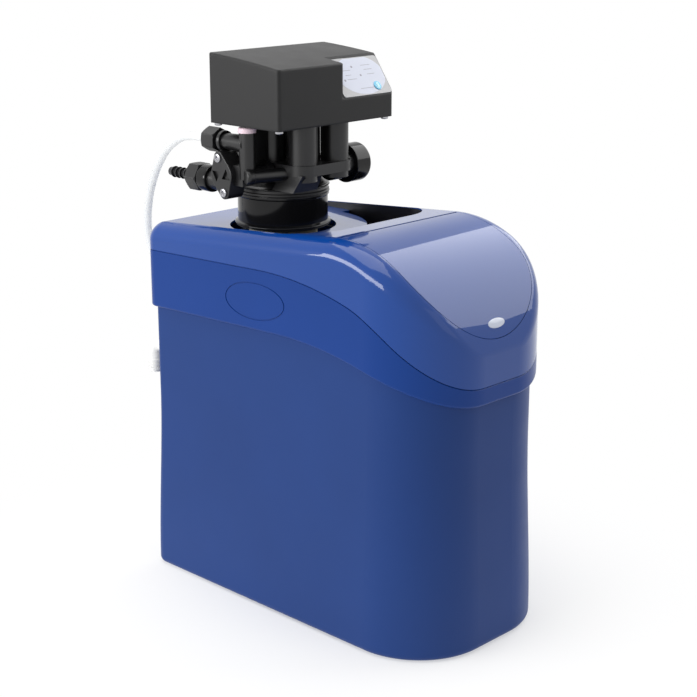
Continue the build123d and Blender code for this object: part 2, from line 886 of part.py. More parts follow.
# Valve body: skirt and cone, deck with four columns, pilot boss, ports and the side boss
deck_half_x = column_pitch_x / 2 + column_radius + manifold_margin
deck_half_y = column_pitch_y / 2 + column_radius + manifold_margin
pilot_y = (column_front_y + rear_row) / 2
with BuildPart() as valve_body:
    with BuildSketch(neck_plane):
        with BuildLine():
            Polyline(
                (0, spigot_low),
                (spigot_radius, spigot_low),
                (spigot_radius, collar_top),
                (skirt_radius, collar_top),
                (skirt_radius, collar_top + skirt_height / 2 - ledge_height / 2),
                (skirt_radius - skirt_ledge, collar_top + skirt_height / 2),
                (skirt_radius - skirt_ledge, skirt_top),
                (cone_base_radius, skirt_top + ledge_height),
                (cone_top_radius, manifold_low + ledge_height),
                (0, manifold_low + ledge_height),
                close=True,
            )
        make_face()
    revolve(axis=neck_circle)
    with BuildSketch(Plane.XY.offset(manifold_low)):
        with Locations((neck_x, pilot_y)):
            RectangleRounded(deck_half_x * 2, deck_half_y * 2, column_radius + manifold_margin / 2)
    extrude(amount=manifold_top - manifold_low)
    for place_x, place_y in column_places:
        with Locations((place_x, place_y, column_low)):
            Cylinder(
                column_radius,
                head_low - column_low,
                align=(Align.CENTER, Align.CENTER, Align.MIN),
            )
    fillet(valve_body.edges().group_by(Axis.Z)[-1], radius=seat_gap)
    with BuildSketch(Plane.XY.offset(skirt_top)):
        with Locations((neck_x - column_pitch_x / 2, column_front_y + block_shift)):
            Rectangle(block_half_width * 2, block_depth)
    with BuildSketch(Plane.XY.offset(manifold_low + ledge_height)):
        with Locations((neck_x - column_pitch_x / 2, column_front_y + manifold_margin)):
            Rectangle(block_top_half_width * 2, block_depth)
    loft()
    with Locations((neck_x, pilot_y, manifold_low)):
        Cylinder(
            pilot_boss_radius,
            head_low - manifold_low,
            align=(Align.CENTER, Align.CENTER, Align.MIN),
        )
    with Locations((neck_x, web_y, manifold_low)):
        Cylinder(
            web_radius,
            head_low - manifold_low,
            align=(Align.CENTER, Align.CENTER, Align.MIN),
        )
    with Locations((neck_x, column_places[-1][1], manifold_low)):
        Box(
            column_pitch_x,
            rear_web,
            head_low - manifold_low,
            align=(Align.CENTER, Align.CENTER, Align.MIN),
        )
    with Locations((neck_x, web_y, manifold_low)):
        Box(
            web_radius,
            pilot_y - web_y,
            head_low - manifold_low,
            align=(Align.CENTER, Align.MIN, Align.MIN),
        )
    for place_x in (neck_x - column_pitch_x / 2, neck_x + column_pitch_x / 2):
        with BuildSketch(Plane.XZ.offset(-port_end_y)):
            with Locations((place_x, port_level)):
                Circle(port_radius)
        extrude(amount=port_end_y - port_flange_y - port_flange_length / 2)
        with BuildSketch(Plane.XZ.offset(-port_flange_y - port_flange_length / 2)):
            with Locations((place_x, port_level)):
                Circle(port_root_radius)
        extrude(amount=port_flange_y + port_flange_length / 2 - rear_row)
        with BuildSketch(Plane.XZ.offset(-port_flange_y - port_flange_length)):
            with Locations((place_x, port_level)):
                Circle(port_flange_radius)
        extrude(amount=port_flange_length)
    with BuildSketch(Plane.YZ.offset(neck_x + column_pitch_x / 2)):
        with Locations((side_port_y, port_level)):
            Circle(side_port_radius)
    extrude(amount=side_port_reach)
    with BuildSketch(Plane.YZ.offset(arm_joint_x)):
        with Locations((arm_y, port_level)):
            Circle(arm_radius)
    extrude(amount=neck_x - column_pitch_x / 2 - arm_joint_x)
    with BuildSketch(Plane.YZ.offset(arm_joint_x)):
        with Locations((arm_y, port_level)):
            Circle(arm_flange_radius)
    extrude(amount=arm_flange)
    with Locations((neck_x, neck_y, spigot_low)):
        Cylinder(
            riser_radius + seat_gap,
            riser_top + seat_gap - spigot_low,
            align=(Align.CENTER, Align.CENTER, Align.MIN),
            mode=Mode.SUBTRACT,
        )
    for place_x, place_y in column_places:
        with Locations((place_x, place_y, bore_floor)):
            Cylinder(
                column_bore,
                head_low - bore_floor,
                align=(Align.CENTER, Align.CENTER, Align.MIN),
                mode=Mode.SUBTRACT,
            )
        with Locations((place_x, place_y, port_level)):
            Cylinder(
                passage_radius,
                bore_floor - port_level,
                align=(Align.CENTER, Align.CENTER, Align.MIN),
                mode=Mode.SUBTRACT,
            )
    with Locations((neck_x, pilot_y, pilot_low - pilot_gap)):
        Cylinder(
            pilot_radius + pilot_gap,
            head_low - pilot_low + pilot_gap,
            align=(Align.CENTER, Align.CENTER, Align.MIN),
            mode=Mode.SUBTRACT,
        )
    for place_x in (neck_x - column_pitch_x / 2, neck_x + column_pitch_x / 2):
        with BuildSketch(Plane.XZ.offset(-port_end_y)):
            with Locations((place_x, port_level)):
                Circle(port_bore)
        extrude(amount=port_end_y - rear_row, mode=Mode.SUBTRACT)
    with BuildSketch(Plane.YZ.offset(neck_x + column_pitch_x / 2)):
        with Locations((side_port_y, port_level)):
            Circle(port_bore)
    extrude(amount=side_port_reach, mode=Mode.SUBTRACT)
valve_body.part.label = "valve_body"
export_step(valve_body.part, "parts/valve_body.step")

# Smooth cap on the side port
side_port_end = neck_x + column_pitch_x / 2 + side_port_reach
with BuildPart() as port_cap:
    with BuildSketch(Plane.YZ.offset(side_port_end + seat_gap + cap_wall)):
        with Locations((side_port_y, port_level)):
            Circle(cap_radius)
    extrude(amount=-cap_length)
    fillet(port_cap.edges().group_by(Axis.X)[-1], radius=cap_round)
    fillet(port_cap.edges().group_by(Axis.X)[0], radius=cap_round / 4)
    with BuildSketch(Plane.YZ.offset(side_port_end + seat_gap)):
        with Locations((side_port_y, port_level)):
            Circle(side_port_radius + seat_gap)
    extrude(amount=-cap_length, mode=Mode.SUBTRACT)
port_cap.part.label = "port_cap"
export_step(port_cap.part, "parts/port_cap.step")

# Four pistons on their springs, one pair in each column
for number, (place_x, place_y) in enumerate(column_places, start=1):
    with BuildPart() as piston:
        with Locations((place_x, place_y, piston_low)):
            Cylinder(
                piston_radius,
                piston_height,
                align=(Align.CENTER, Align.CENTER, Align.MIN),
            )
        with Locations((place_x, place_y, piston_low - piston_stem_length)):
            Cylinder(
                piston_stem_radius,
                piston_stem_length,
                align=(Align.CENTER, Align.CENTER, Align.MIN),
            )
        with Locations((place_x, place_y, piston_low + piston_height - piston_skirt)):
            Cylinder(
                piston_radius - piston_stem_radius,
                piston_skirt,
                align=(Align.CENTER, Align.CENTER, Align.MIN),
                mode=Mode.SUBTRACT,
            )
    piston.part.label = f"piston_{number}"
    export_step(piston.part, f"parts/piston_{number}.step")

    with BuildPart() as piston_spring:
        with BuildSketch(Plane.XY.offset(bore_floor + seat_gap)):
            with Locations((place_x, place_y)):
                Circle(spring_radius)
                Circle(spring_radius - spring_wall, mode=Mode.SUBTRACT)
        extrude(amount=piston_low - bore_floor - seat_gap * 2)
    piston_spring.part.label = f"piston_spring_{number}"
    export_step(piston_spring.part, f"parts/piston_spring_{number}.step")

# Pilot disc on its shaft, with the drive gear pressed on the top
gear_top = gear_low + gear_thickness
with BuildPart() as pilot_disc:
    with Locations((neck_x, pilot_y, pilot_low)):
        Cylinder(
            pilot_radius,
            pilot_top - pilot_low,
            align=(Align.CENTER, Align.CENTER, Align.MIN),
        )
    with Locations((neck_x, pilot_y, pilot_top)):
        Cylinder(
            pilot_shaft_radius,
            gear_top - pilot_top,
            align=(Align.CENTER, Align.CENTER, Align.MIN),
        )
pilot_disc.part.label = "pilot_disc"
export_step(pilot_disc.part, "parts/pilot_disc.step")

with BuildPart() as drive_gear:
    with BuildSketch(Plane((neck_x, pilot_y, gear_low))):
        with BuildLine():
            Polyline(*gear_outline(gear_teeth, 0), close=True)
        make_face()
        Circle(pilot_shaft_radius + running, mode=Mode.SUBTRACT)
    extrude(amount=gear_thickness)
drive_gear.part.label = "drive_gear"
export_step(drive_gear.part, "parts/drive_gear.step")

gear_distance = gear_module * (gear_teeth + pinion_teeth) / 2
motor_x = neck_x + gear_distance
with BuildPart() as motor_pinion:
    with BuildSketch(Plane((motor_x, pilot_y, gear_low))):
        with BuildLine():
            Polyline(*gear_outline(pinion_teeth, pi / pinion_teeth), close=True)
        make_face()
        Circle(motor_shaft_radius + running, mode=Mode.SUBTRACT)
    extrude(amount=gear_thickness)
motor_pinion.part.label = "motor_pinion"
export_step(motor_pinion.part, "parts/motor_pinion.step")

# Gear motor standing on the control base
base_top = head_low + base_thickness
with BuildPart() as gear_motor:
    with Locations((motor_x, pilot_y, base_top)):
        Cylinder(motor_radius, motor_height, align=(Align.CENTER, Align.CENTER, Align.MIN))
    fillet(gear_motor.edges().group_by(Axis.Z)[-1], radius=motor_shaft_radius)
    with Locations((motor_x, pilot_y, base_top + motor_height)):
        Cylinder(
            motor_shaft_radius,
            gear_top - base_top - motor_height,
            align=(Align.CENTER, Align.CENTER, Align.MIN),
        )
gear_motor.part.label = "gear_motor"
export_step(gear_motor.part, "parts/gear_motor.step")


def head_form(inset):
    """Control head drawn in evenly: crowned sloping top and a display slope at the front right."""
    slope = radians(display_angle)
    front = head_front + inset
    rear = head_rear - inset
    front_top = head_top_front - inset
    rear_top_z = head_top_rear - inset
    middle_y = (front + rear) / 2
    middle_z = (front_top + rear_top_z) / 2 + head_crown
    low = display_low + inset * (tan(slope) - 1 / cos(slope))
    run = (head_top_rear - display_low) / sin(slope)
    with BuildPart() as form:
        with BuildSketch(Plane.YZ.offset(head_left + inset)):
            with BuildLine():
                Polyline(
                    (rear, rear_top_z), (rear, head_low), (front, head_low), (front, front_top)
                )
                ThreePointArc((front, front_top), (middle_y, middle_z), (rear, rear_top_z))
            make_face()
        extrude(amount=head_right - head_left - inset * 2)
        with BuildSketch(Plane.YZ.offset(display_left - inset)):
            with BuildLine():
                Polyline(
                    (front, low),
                    (front + run * cos(slope), low + run * sin(slope)),
                    (front - overrun, low + run * sin(slope)),
                    (front - overrun, low),
                    close=True,
                )
            make_face()
        extrude(amount=head_right - display_left, mode=Mode.SUBTRACT)
    return form.part


# Control base: the plate under the head, resting on the four columns
screw_places = [
    (x, y)
    for x in (head_left + cover_screw_inset, head_right - cover_screw_inset)
    for y in (head_front + cover_screw_inset, head_rear - cover_screw_inset)
]
with BuildPart() as control_base:
    with BuildSketch(Plane.XY.offset(head_low)):
        with Locations(((head_left + head_right) / 2, (head_front + head_rear) / 2)):
            RectangleRounded(
                head_right - head_left - (head_wall + base_gap) * 2,
                head_rear - head_front - (head_wall + base_gap) * 2,
                head_round / 2,
            )
        with Locations(*screw_places):
            Circle(cover_screw_shank + screw_gap, mode=Mode.SUBTRACT)
        with Locations((neck_x, pilot_y)):
            Circle(pilot_shaft_radius + shaft_gap, mode=Mode.SUBTRACT)
    extrude(amount=base_thickness)
control_base.part.label = "control_base"
export_step(control_base.part, "parts/control_base.step")

# Display slope: a plane with X across the head and Y up the slope
display_slope = radians(display_angle)
display_plane = Plane(
    origin=((display_left + head_right) / 2, head_front, display_low),
    x_dir=(1, 0, 0),
    z_dir=(0, -sin(display_slope), cos(display_slope)),
)
display_width = head_right - display_left
button_x = display_width / 2 - button_inset

# Control cover: shell with screw bosses, board posts and the button hole
with BuildPart() as control_cover:
    add(head_form(0))
    fillet(control_cover.edges().filter_by(Axis.Z), radius=head_round)
    top_edges = control_cover.edges().filter_by(
        lambda edge: edge.center().Z > head_top_front - head_wall
    )
    fillet(top_edges, radius=head_edge)
    add(head_form(head_wall), mode=Mode.SUBTRACT)
    with BuildSketch(Plane.XY.offset(base_top)):
        with Locations(*screw_places):
            Circle(boss_radius)
    extrude(amount=boss_height)
    with BuildSketch(Plane.XY.offset(base_top)):
        with Locations(*screw_places):
            Circle(cover_screw_shank + screw_gap)
    extrude(amount=cover_screw_length - base_thickness + screw_gap, mode=Mode.SUBTRACT)
    with BuildSketch(display_plane.offset(-board_depth)):
        with GridLocations(display_width - (board_margin + post_radius) * 2, board_length / 2, 2, 2):
            with Locations((0, board_length / 2)):
                Circle(post_radius)
    extrude(amount=board_depth - head_wall / 2)
    with BuildSketch(display_plane.offset(-board_depth)):
        with Locations((button_x, button_up)):
            Circle(button_radius + button_gap)
    extrude(amount=board_depth * 2, mode=Mode.SUBTRACT)
control_cover.part.label = "control_cover"
export_step(control_cover.part, "parts/control_cover.step")

# Cover screws: four alike, driven up through the base into the bosses
with BuildPart() as cover_screws:
    with BuildSketch(Plane.XY.offset(head_low - cover_screw_head)):
        with Locations(*screw_places):
            Circle(cover_screw_radius)
    extrude(amount=cover_screw_head)
    fillet(cover_screws.edges().group_by(Axis.Z)[0], radius=cover_screw_head / 3)
    with BuildSketch(Plane.XY.offset(head_low)):
        with Locations(*screw_places):
            Circle(cover_screw_shank)
    extrude(amount=cover_screw_length)
cover_screws.part.label = "cover_screws"
export_step(cover_screws.part, "parts/cover_screws.step")

# Display panel: a thin plate on the slope, with a round hole for the button
overlay_width = display_width - overlay_margin * 2
with BuildPart() as display_panel:
    with BuildSketch(display_plane):
        with Locations((0, overlay_margin + overlay_length / 2)):
            RectangleRounded(overlay_width, overlay_length, overlay_corner)
        with Locations((button_x, button_up)):
            Circle(button_radius + button_gap, mode=Mode.SUBTRACT)
    extrude(amount=overlay_thickness)
display_panel.part.label = "display_panel"
export_step(display_panel.part, "parts/display_panel.step")

# Push button: domed cap standing proud of the panel, with a flange behind the cover wall
with BuildPart() as push_button:
    with BuildSketch(display_plane.offset(button_proud)):
        with Locations((button_x, button_up)):
            Circle(button_radius)
    extrude(amount=-button_height)
    fillet(push_button.edges().group_by(Axis(display_plane.origin, display_plane.z_dir))[-1],
           radius=button_proud / 2)
    with BuildSketch(display_plane.offset(-head_wall - seat_gap)):
        with Locations((button_x, button_up)):
            Circle(button_radius + button_flange)
    extrude(amount=-button_flange_height)
push_button.part.label = "push_button"
export_step(push_button.part, "parts/push_button.step")

# Circuit board behind the slope, with the switch under the button
switch_height = board_depth + button_proud - button_height - button_travel - seat_gap
with BuildPart() as circuit_board:
    with BuildSketch(display_plane.offset(-board_depth)):
        with Locations((0, board_length / 2)):
            Rectangle(display_width - board_margin * 2, board_length)
    extrude(amount=-board_thickness)
    with BuildSketch(display_plane.offset(-board_depth)):
        with Locations((button_x, button_up)):
            Rectangle(switch_side, switch_side)
    extrude(amount=switch_height)
circuit_board.part.label = "circuit_board"
export_step(circuit_board.part, "parts/circuit_board.step")


def hexagon(flats):
    """Corner radius of a hexagon with the given distance across its flats."""
    return flats / (2 * cos(radians(half_turn / 6)))


# Injector body: side arm, upright stub, brine arm, drain arm and the block for the injector
with BuildPart() as injector_body:
    with BuildSketch(Plane.YZ.offset(arm_joint_x)):
        with Locations((arm_y, port_level)):
            Circle(arm_flange_radius)
    extrude(amount=-arm_flange)
    with BuildSketch(Plane.YZ.offset(arm_joint_x)):
        with Locations((arm_y, port_level)):
            Circle(arm_radius)
    extrude(amount=arm_x - arm_joint_x)
    with Locations((arm_x, arm_y, stub_low)):
        Cylinder(
            stub_radius,
            stub_top - stub_low,
            align=(Align.CENTER, Align.CENTER, Align.MIN),
        )
    fillet(injector_body.edges().group_by(Axis.Z)[0], radius=plug_round)
    with BuildSketch(Plane.XZ.offset(-arm_y)):
        with Locations((arm_x, brine_level)):
            Circle(brine_arm_large)
    with BuildSketch(Plane.XZ.offset(-brine_nut_y)):
        with Locations((arm_x, brine_level)):
            Circle(brine_arm_small)
    loft()
    with BuildSketch(Plane.XZ.offset(-brine_nut_y)):
        with Locations((arm_x, brine_level)):
            Circle(brine_thread_radius)
    extrude(amount=-brine_nut_length * 2 / 3)
    with BuildSketch(Plane.YZ.offset(injector_face_x)):
        with BuildLine():
            upper = (injector_y + lug_y, injector_z + lug_z)
            lower = (injector_y - lug_y, injector_z - lug_z)
            CenterArc(upper, lug_radius, 0, full_turn)
            CenterArc(lower, lug_radius, 0, full_turn)
            CenterArc((injector_y, injector_z), injector_radius, 0, full_turn)
        make_hull()
    extrude(amount=injector_back_x - injector_face_x)
    with BuildSketch(Plane.XY.offset(drain_level)):
        with Locations(((injector_face_x + injector_back_x) / 2, (arm_y + injector_y) / 2)):
            Rectangle(injector_back_x - injector_face_x, injector_y - arm_y)
    extrude(amount=port_level - drain_level + arm_radius)
    with Locations((arm_joint_x - arm_flange, arm_y, port_level - arm_radius)):
        Box(
            arm_joint_x - arm_flange - injector_back_x,
            bracket_thickness,
            bracket_depth,
            align=(Align.MAX, Align.CENTER, Align.CENTER),
        )
    with BuildSketch(Plane.XZ.offset(-injector_y)):
        with Locations((drain_x, drain_level)):
            Circle(drain_arm_radius)
    extrude(amount=injector_y - drain_nut_y + seat_gap)
    with BuildSketch(Plane.XZ.offset(-injector_y)):
        with Locations((drain_x, drain_level)):
            Circle(barb_bore)
    extrude(amount=injector_y - drain_nut_y, mode=Mode.SUBTRACT)
    with BuildSketch(Plane.XZ.offset(-injector_y)):
        with Locations((arm_x, brine_level)):
            Circle(tube_bore)
    extrude(amount=injector_y - brine_nut_y - brine_nut_length, mode=Mode.SUBTRACT)
    with BuildSketch(Plane.YZ.offset(injector_face_x)):
        with Locations(upper, lower):
            Circle(screw_shank_radius + screw_gap)
    extrude(amount=screw_shank_length, mode=Mode.SUBTRACT)
    with Locations((arm_x, arm_y, stub_top)):
        Cylinder(
            plug_stem_radius + seat_gap,
            (plug_stem + seat_gap) * 2,
            mode=Mode.SUBTRACT,
        )
injector_body.part.label = "injector_body"
export_step(injector_body.part, "parts/injector_body.step")

# Injector cap with two pan-head screws and a pocket between them
with BuildPart() as injector_cap:
    with BuildSketch(Plane.YZ.offset(injector_face_x)):
        with BuildLine():
            CenterArc(upper, lug_radius, 0, full_turn)
            CenterArc(lower, lug_radius, 0, full_turn)
            CenterArc((injector_y, injector_z), injector_radius, 0, full_turn)
        make_hull()
    extrude(amount=-injector_cap_thickness)
    fillet(injector_cap.edges().group_by(Axis.X)[0], radius=cap_round / 4)
    with BuildSketch(Plane.YZ.offset(injector_face_x - injector_cap_thickness)):
        with Locations((injector_y - injector_pocket_radius, injector_z)):
            RegularPolygon(injector_pocket_radius, 3, rotation=quarter_turn)
        with Locations((injector_y + injector_pocket_radius, injector_z)):
            RegularPolygon(injector_pocket_radius, 3, rotation=-quarter_turn)
    extrude(amount=injector_pocket_depth, mode=Mode.SUBTRACT)
    with BuildSketch(Plane.YZ.offset(injector_face_x)):
        with Locations(upper, lower):
            Circle(screw_shank_radius + screw_gap)
    extrude(amount=-injector_cap_thickness, mode=Mode.SUBTRACT)
injector_cap.part.label = "injector_cap"
export_step(injector_cap.part, "parts/injector_cap.step")

with BuildPart() as injector_screws:
    with BuildSketch(Plane.YZ.offset(injector_face_x - injector_cap_thickness)):
        with Locations(upper, lower):
            Circle(screw_head_radius)
    extrude(amount=-screw_head_height)
    fillet(injector_screws.edges().group_by(Axis.X)[0], radius=screw_head_height / 2)
    with BuildSketch(Plane.YZ.offset(injector_face_x - injector_cap_thickness)):
        with Locations(upper, lower):
            Circle(screw_shank_radius)
    extrude(amount=screw_shank_length)
injector_screws.part.label = "injector_screws"
export_step(injector_screws.part, "parts/injector_screws.step")

# Plug on the upright stub
with BuildPart() as stub_plug:
    with Locations((arm_x, arm_y, stub_top)):
        Cylinder(plug_radius, plug_height, align=(Align.CENTER, Align.CENTER, Align.MIN))
    fillet(stub_plug.edges().group_by(Axis.Z)[-1], radius=plug_round)
    with Locations((arm_x, arm_y, stub_top)):
        Cylinder(plug_stem_radius, plug_stem, align=(Align.CENTER, Align.CENTER, Align.MAX))
stub_plug.part.label = "stub_plug"
export_step(stub_plug.part, "parts/stub_plug.step")

# Brine nut: hexagon with chamfered corners, closed behind the thread round the tube's end
with BuildPart() as brine_nut:
    with BuildSketch(Plane.XZ.offset(-brine_nut_y)):
        with Locations((arm_x, brine_level)):
            RegularPolygon(hexagon(brine_nut_flats), 6)
    extrude(amount=-brine_nut_length)
    with BuildSketch(Plane.XZ.offset(-brine_nut_y)):
        with Locations((arm_x, brine_level)):
            Circle(brine_nut_flats / 2 + cap_round / 3)
    extrude(amount=-brine_nut_length, mode=Mode.INTERSECT)
    with BuildSketch(Plane.XZ.offset(-brine_nut_y)):
        with Locations((arm_x, brine_level)):
            Circle(brine_thread_radius + nut_gap)
    extrude(amount=-brine_nut_length * 2 / 3 - nut_gap, mode=Mode.SUBTRACT)
    with BuildSketch(Plane.XZ.offset(-brine_nut_y)):
        with Locations((arm_x, brine_level)):
            Circle(tube_bore)
    extrude(amount=-brine_nut_length, mode=Mode.SUBTRACT)
brine_nut.part.label = "brine_nut"
export_step(brine_nut.part, "parts/brine_nut.step")

# Drain side: ribbed collar, union nut and hose barb
with BuildPart() as drain_collar:
    with BuildSketch(Plane.XZ.offset(-drain_nut_y + drain_collar_length)):
        with Locations((drain_x, drain_level)):
            Circle(drain_collar_radius)
            Circle(drain_arm_radius + nut_gap, mode=Mode.SUBTRACT)
    extrude(amount=-drain_collar_length + seat_gap)
    for step in (1, 3, 5):
        with BuildSketch(Plane.XZ.offset(-drain_nut_y + drain_collar_length * step / 6)):
            with Locations((drain_x, drain_level)):
                Circle(drain_collar_radius)
                Circle(drain_collar_radius - drain_collar_rib, mode=Mode.SUBTRACT)
        extrude(amount=drain_collar_length / 12, both=True, mode=Mode.SUBTRACT)
drain_collar.part.label = "drain_collar"
export_step(drain_collar.part, "parts/drain_collar.step")

with BuildPart() as drain_nut:
    with BuildSketch(Plane.XZ.offset(-drain_nut_y)):
        with Locations((drain_x, drain_level)):
            RegularPolygon(hexagon(drain_nut_flats), 6, rotation=quarter_turn / 3)
    extrude(amount=-drain_nut_length)
    with BuildSketch(Plane.XZ.offset(-drain_nut_y)):
        with Locations((drain_x, drain_level)):
            Circle(drain_nut_flats / 2 + cap_round / 3)
    extrude(amount=-drain_nut_length, mode=Mode.INTERSECT)
    with BuildSketch(Plane.XZ.offset(-drain_nut_y)):
        with Locations((drain_x, drain_level)):
            Circle(barb_root + nut_gap)
    extrude(amount=-drain_nut_length, mode=Mode.SUBTRACT)
drain_nut.part.label = "drain_nut"
export_step(drain_nut.part, "parts/drain_nut.step")

barb_plane = Plane(origin=(drain_x, drain_nut_y, drain_level), x_dir=(1, 0, 0), z_dir=(0, 0, 1))
barb_length = barb_end_y - drain_nut_y
barb_points = [(barb_bore, 0), (barb_root, 0)]
for ridge in range(barb_ridges):
    start = barb_length - barb_pitch * (barb_ridges - ridge)
    barb_points.append((barb_root, start))
    barb_points.append((barb_ridge, start))
    barb_points.append((barb_root, start + barb_pitch - ledge_height))
barb_points.append((barb_root, barb_length))
barb_points.append((barb_bore, barb_length))
with BuildPart() as drain_barb:
    add(turned_about(barb_plane, barb_points))
drain_barb.part.label = "drain_barb"
export_step(drain_barb.part, "parts/drain_barb.step")

# Brine well: slotted tube on the cabinet floor, with a lapped cap
with BuildPart() as brine_well:
    with BuildSketch(Plane.XY.offset(wall)):
        with Locations((well_x, well_y)):
            Circle(well_radius)
            Circle(well_radius - well_wall, mode=Mode.SUBTRACT)
    extrude(amount=well_top - wall)
    with Locations((well_x, well_y, wall + well_slot_height)):
        with PolarLocations(well_radius, well_slots):
            Box(well_wall * 4, well_slot_width, well_slot_height, mode=Mode.SUBTRACT)
brine_well.part.label = "brine_well"
export_step(brine_well.part, "parts/brine_well.step")

with BuildPart() as brine_well_cap:
    with Locations((well_x, well_y, well_top - cap_lap)):
        Cylinder(
            well_radius + well_wall + seat_gap,
            cap_lap + well_cap_height / 2,
            align=(Align.CENTER, Align.CENTER, Align.MIN),
        )
    fillet(brine_well_cap.edges().group_by(Axis.Z)[-1], radius=well_wall)
    with Locations((well_x, well_y, well_top - cap_lap)):
        Cylinder(
            well_radius + seat_gap,
            cap_lap,
            align=(Align.CENTER, Align.CENTER, Align.MIN),
            mode=Mode.SUBTRACT,
        )
    with Locations((well_x, well_y, well_top)):
        Cylinder(brine_pipe_radius + seat_gap, well_cap_height * 2, mode=Mode.SUBTRACT)
brine_well_cap.part.label = "brine_well_cap"
export_step(brine_well_cap.part, "parts/brine_well_cap.step")

# Brine valve: foot on the floor, pipe up through the cap, two clips that stop the float
clip_low = float_low - clip_height - seat_gap
clip_high = float_low + float_height + float_travel + seat_gap
with BuildPart() as brine_valve:
    with Locations((well_x, well_y, wall)):
        Cylinder(
            brine_valve_radius,
            brine_valve_height,
            align=(Align.CENTER, Align.CENTER, Align.MIN),
        )
    fillet(brine_valve.edges().group_by(Axis.Z)[-1], radius=brine_pipe_radius / 2)
    with Locations((well_x, well_y, wall)):
        Cylinder(
            brine_pipe_radius,
            brine_pipe_top - wall,
            align=(Align.CENTER, Align.CENTER, Align.MIN),
        )
    for level in (clip_low, clip_high):
        with Locations((well_x, well_y, level)):
            Cylinder(clip_radius, clip_height, align=(Align.CENTER, Align.CENTER, Align.MIN))
    with Locations((well_x, well_y, brine_valve_height)):
        Cylinder(
            brine_pipe_bore,
            brine_pipe_top,
            align=(Align.CENTER, Align.CENTER, Align.MIN),
            mode=Mode.SUBTRACT,
        )
brine_valve.part.label = "brine_valve"
export_step(brine_valve.part, "parts/brine_valve.step")

with BuildPart() as brine_float:
    with Locations((well_x, well_y, float_low)):
        Cylinder(float_radius, float_height, align=(Align.CENTER, Align.CENTER, Align.MIN))
    fillet(brine_float.edges(), radius=brine_pipe_radius / 2)
    with Locations((well_x, well_y, float_low)):
        Cylinder(
            brine_pipe_radius + seat_gap * 2,
            float_height,
            align=(Align.CENTER, Align.CENTER, Align.MIN),
            mode=Mode.SUBTRACT,
        )
brine_float.part.label = "brine_float"
export_step(brine_float.part, "parts/brine_float.step")

# Salt grid: slotted plate on four legs, cut round the tank foot and the brine well
with BuildPart() as salt_grid:
    with BuildSketch(Plane.XY.offset(grid_level)):
        add(cabinet_plan(-wall - grid_gap))
        with Locations((neck_x, neck_y)):
            Circle(boot_radius + grid_gap, mode=Mode.SUBTRACT)
        with Locations((well_x, well_y)):
            Circle(well_radius + grid_gap, mode=Mode.SUBTRACT)
        with Locations((0, neck_y)):
            Rectangle(
                band_half_width * 2,
                band_rear * 2,
                align=(Align.CENTER, Align.MIN),
                mode=Mode.SUBTRACT,
            )
        with Locations((0, -cabinet_half_length / 2 - grid_slot_length / 2)):
            with GridLocations(grid_slot_length + grid_slot_pitch, grid_slot_pitch, 2, 5):
                SlotOverall(grid_slot_length, grid_slot_width, mode=Mode.SUBTRACT)
    extrude(amount=grid_thickness)
    with BuildSketch(Plane.XY.offset(wall)):
        with Locations((0, -cabinet_half_length / 2 - grid_slot_length / 2)):
            with Locations((0, grid_leg_spread), (-grid_leg_spread, 0), (grid_leg_spread, 0)):
                Circle(grid_leg_radius)
            with Locations((-grid_leg_spread, grid_leg_spread * 2)):
                Circle(grid_leg_radius)
    extrude(amount=grid_level - wall)
salt_grid.part.label = "salt_grid"
export_step(salt_grid.part, "parts/salt_grid.step")

# Overflow: elbow outside the back wall, gasket, and the nut inside
back_wall = cabinet_half_length
elbow_face = back_wall + gasket_thickness
with BuildPart() as overflow_gasket:
    with BuildSketch(Plane.XZ.offset(-elbow_face)):
        with Locations((elbow_x, elbow_z)):
            Circle(elbow_flange_radius - seat_gap)
            Circle(elbow_thread_radius + seat_gap, mode=Mode.SUBTRACT)
    extrude(amount=gasket_thickness)
overflow_gasket.part.label = "overflow_gasket"
export_step(overflow_gasket.part, "parts/overflow_gasket.step")

elbow_thread_end = back_wall - wall - elbow_nut_length - elbow_flange
with BuildPart() as overflow_elbow:
    with BuildSketch(Plane.XZ.offset(-elbow_face - elbow_flange)):
        with Locations((elbow_x, elbow_z)):
            Circle(elbow_flange_radius)
    extrude(amount=elbow_flange)
    with BuildSketch(Plane.XZ.offset(-elbow_face)):
        with Locations((elbow_x, elbow_z)):
            Circle(elbow_thread_radius)
    extrude(amount=elbow_face - elbow_thread_end)
    with BuildLine():
        FilletPolyline(
            (elbow_x, elbow_face, elbow_z),
            (elbow_x, back_wall + elbow_reach, elbow_z),
            (elbow_x, back_wall + elbow_reach, elbow_z - elbow_drop),
            radius=elbow_bend,
        )
    with BuildSketch(Plane.XZ.offset(-elbow_face)):
        with Locations((elbow_x, elbow_z)):
            Circle(elbow_radius)
    sweep()
    for ridge in range(elbow_ridges):
        with BuildSketch(Plane.XY.offset(elbow_z - elbow_drop + elbow_radius * (ridge + 1 / 2) * 2 / 3)):
            with Locations((elbow_x, back_wall + elbow_reach)):
                Circle(elbow_radius + elbow_ridge)
        extrude(amount=elbow_ridge * 2)
    with BuildLine():
        FilletPolyline(
            (elbow_x, elbow_thread_end, elbow_z),
            (elbow_x, back_wall + elbow_reach, elbow_z),
            (elbow_x, back_wall + elbow_reach, elbow_z - elbow_drop),
            radius=elbow_bend,
        )
    with BuildSketch(Plane.XZ.offset(-elbow_thread_end)):
        with Locations((elbow_x, elbow_z)):
            Circle(elbow_bore)
    sweep(mode=Mode.SUBTRACT)
overflow_elbow.part.label = "overflow_elbow"
export_step(overflow_elbow.part, "parts/overflow_elbow.step")

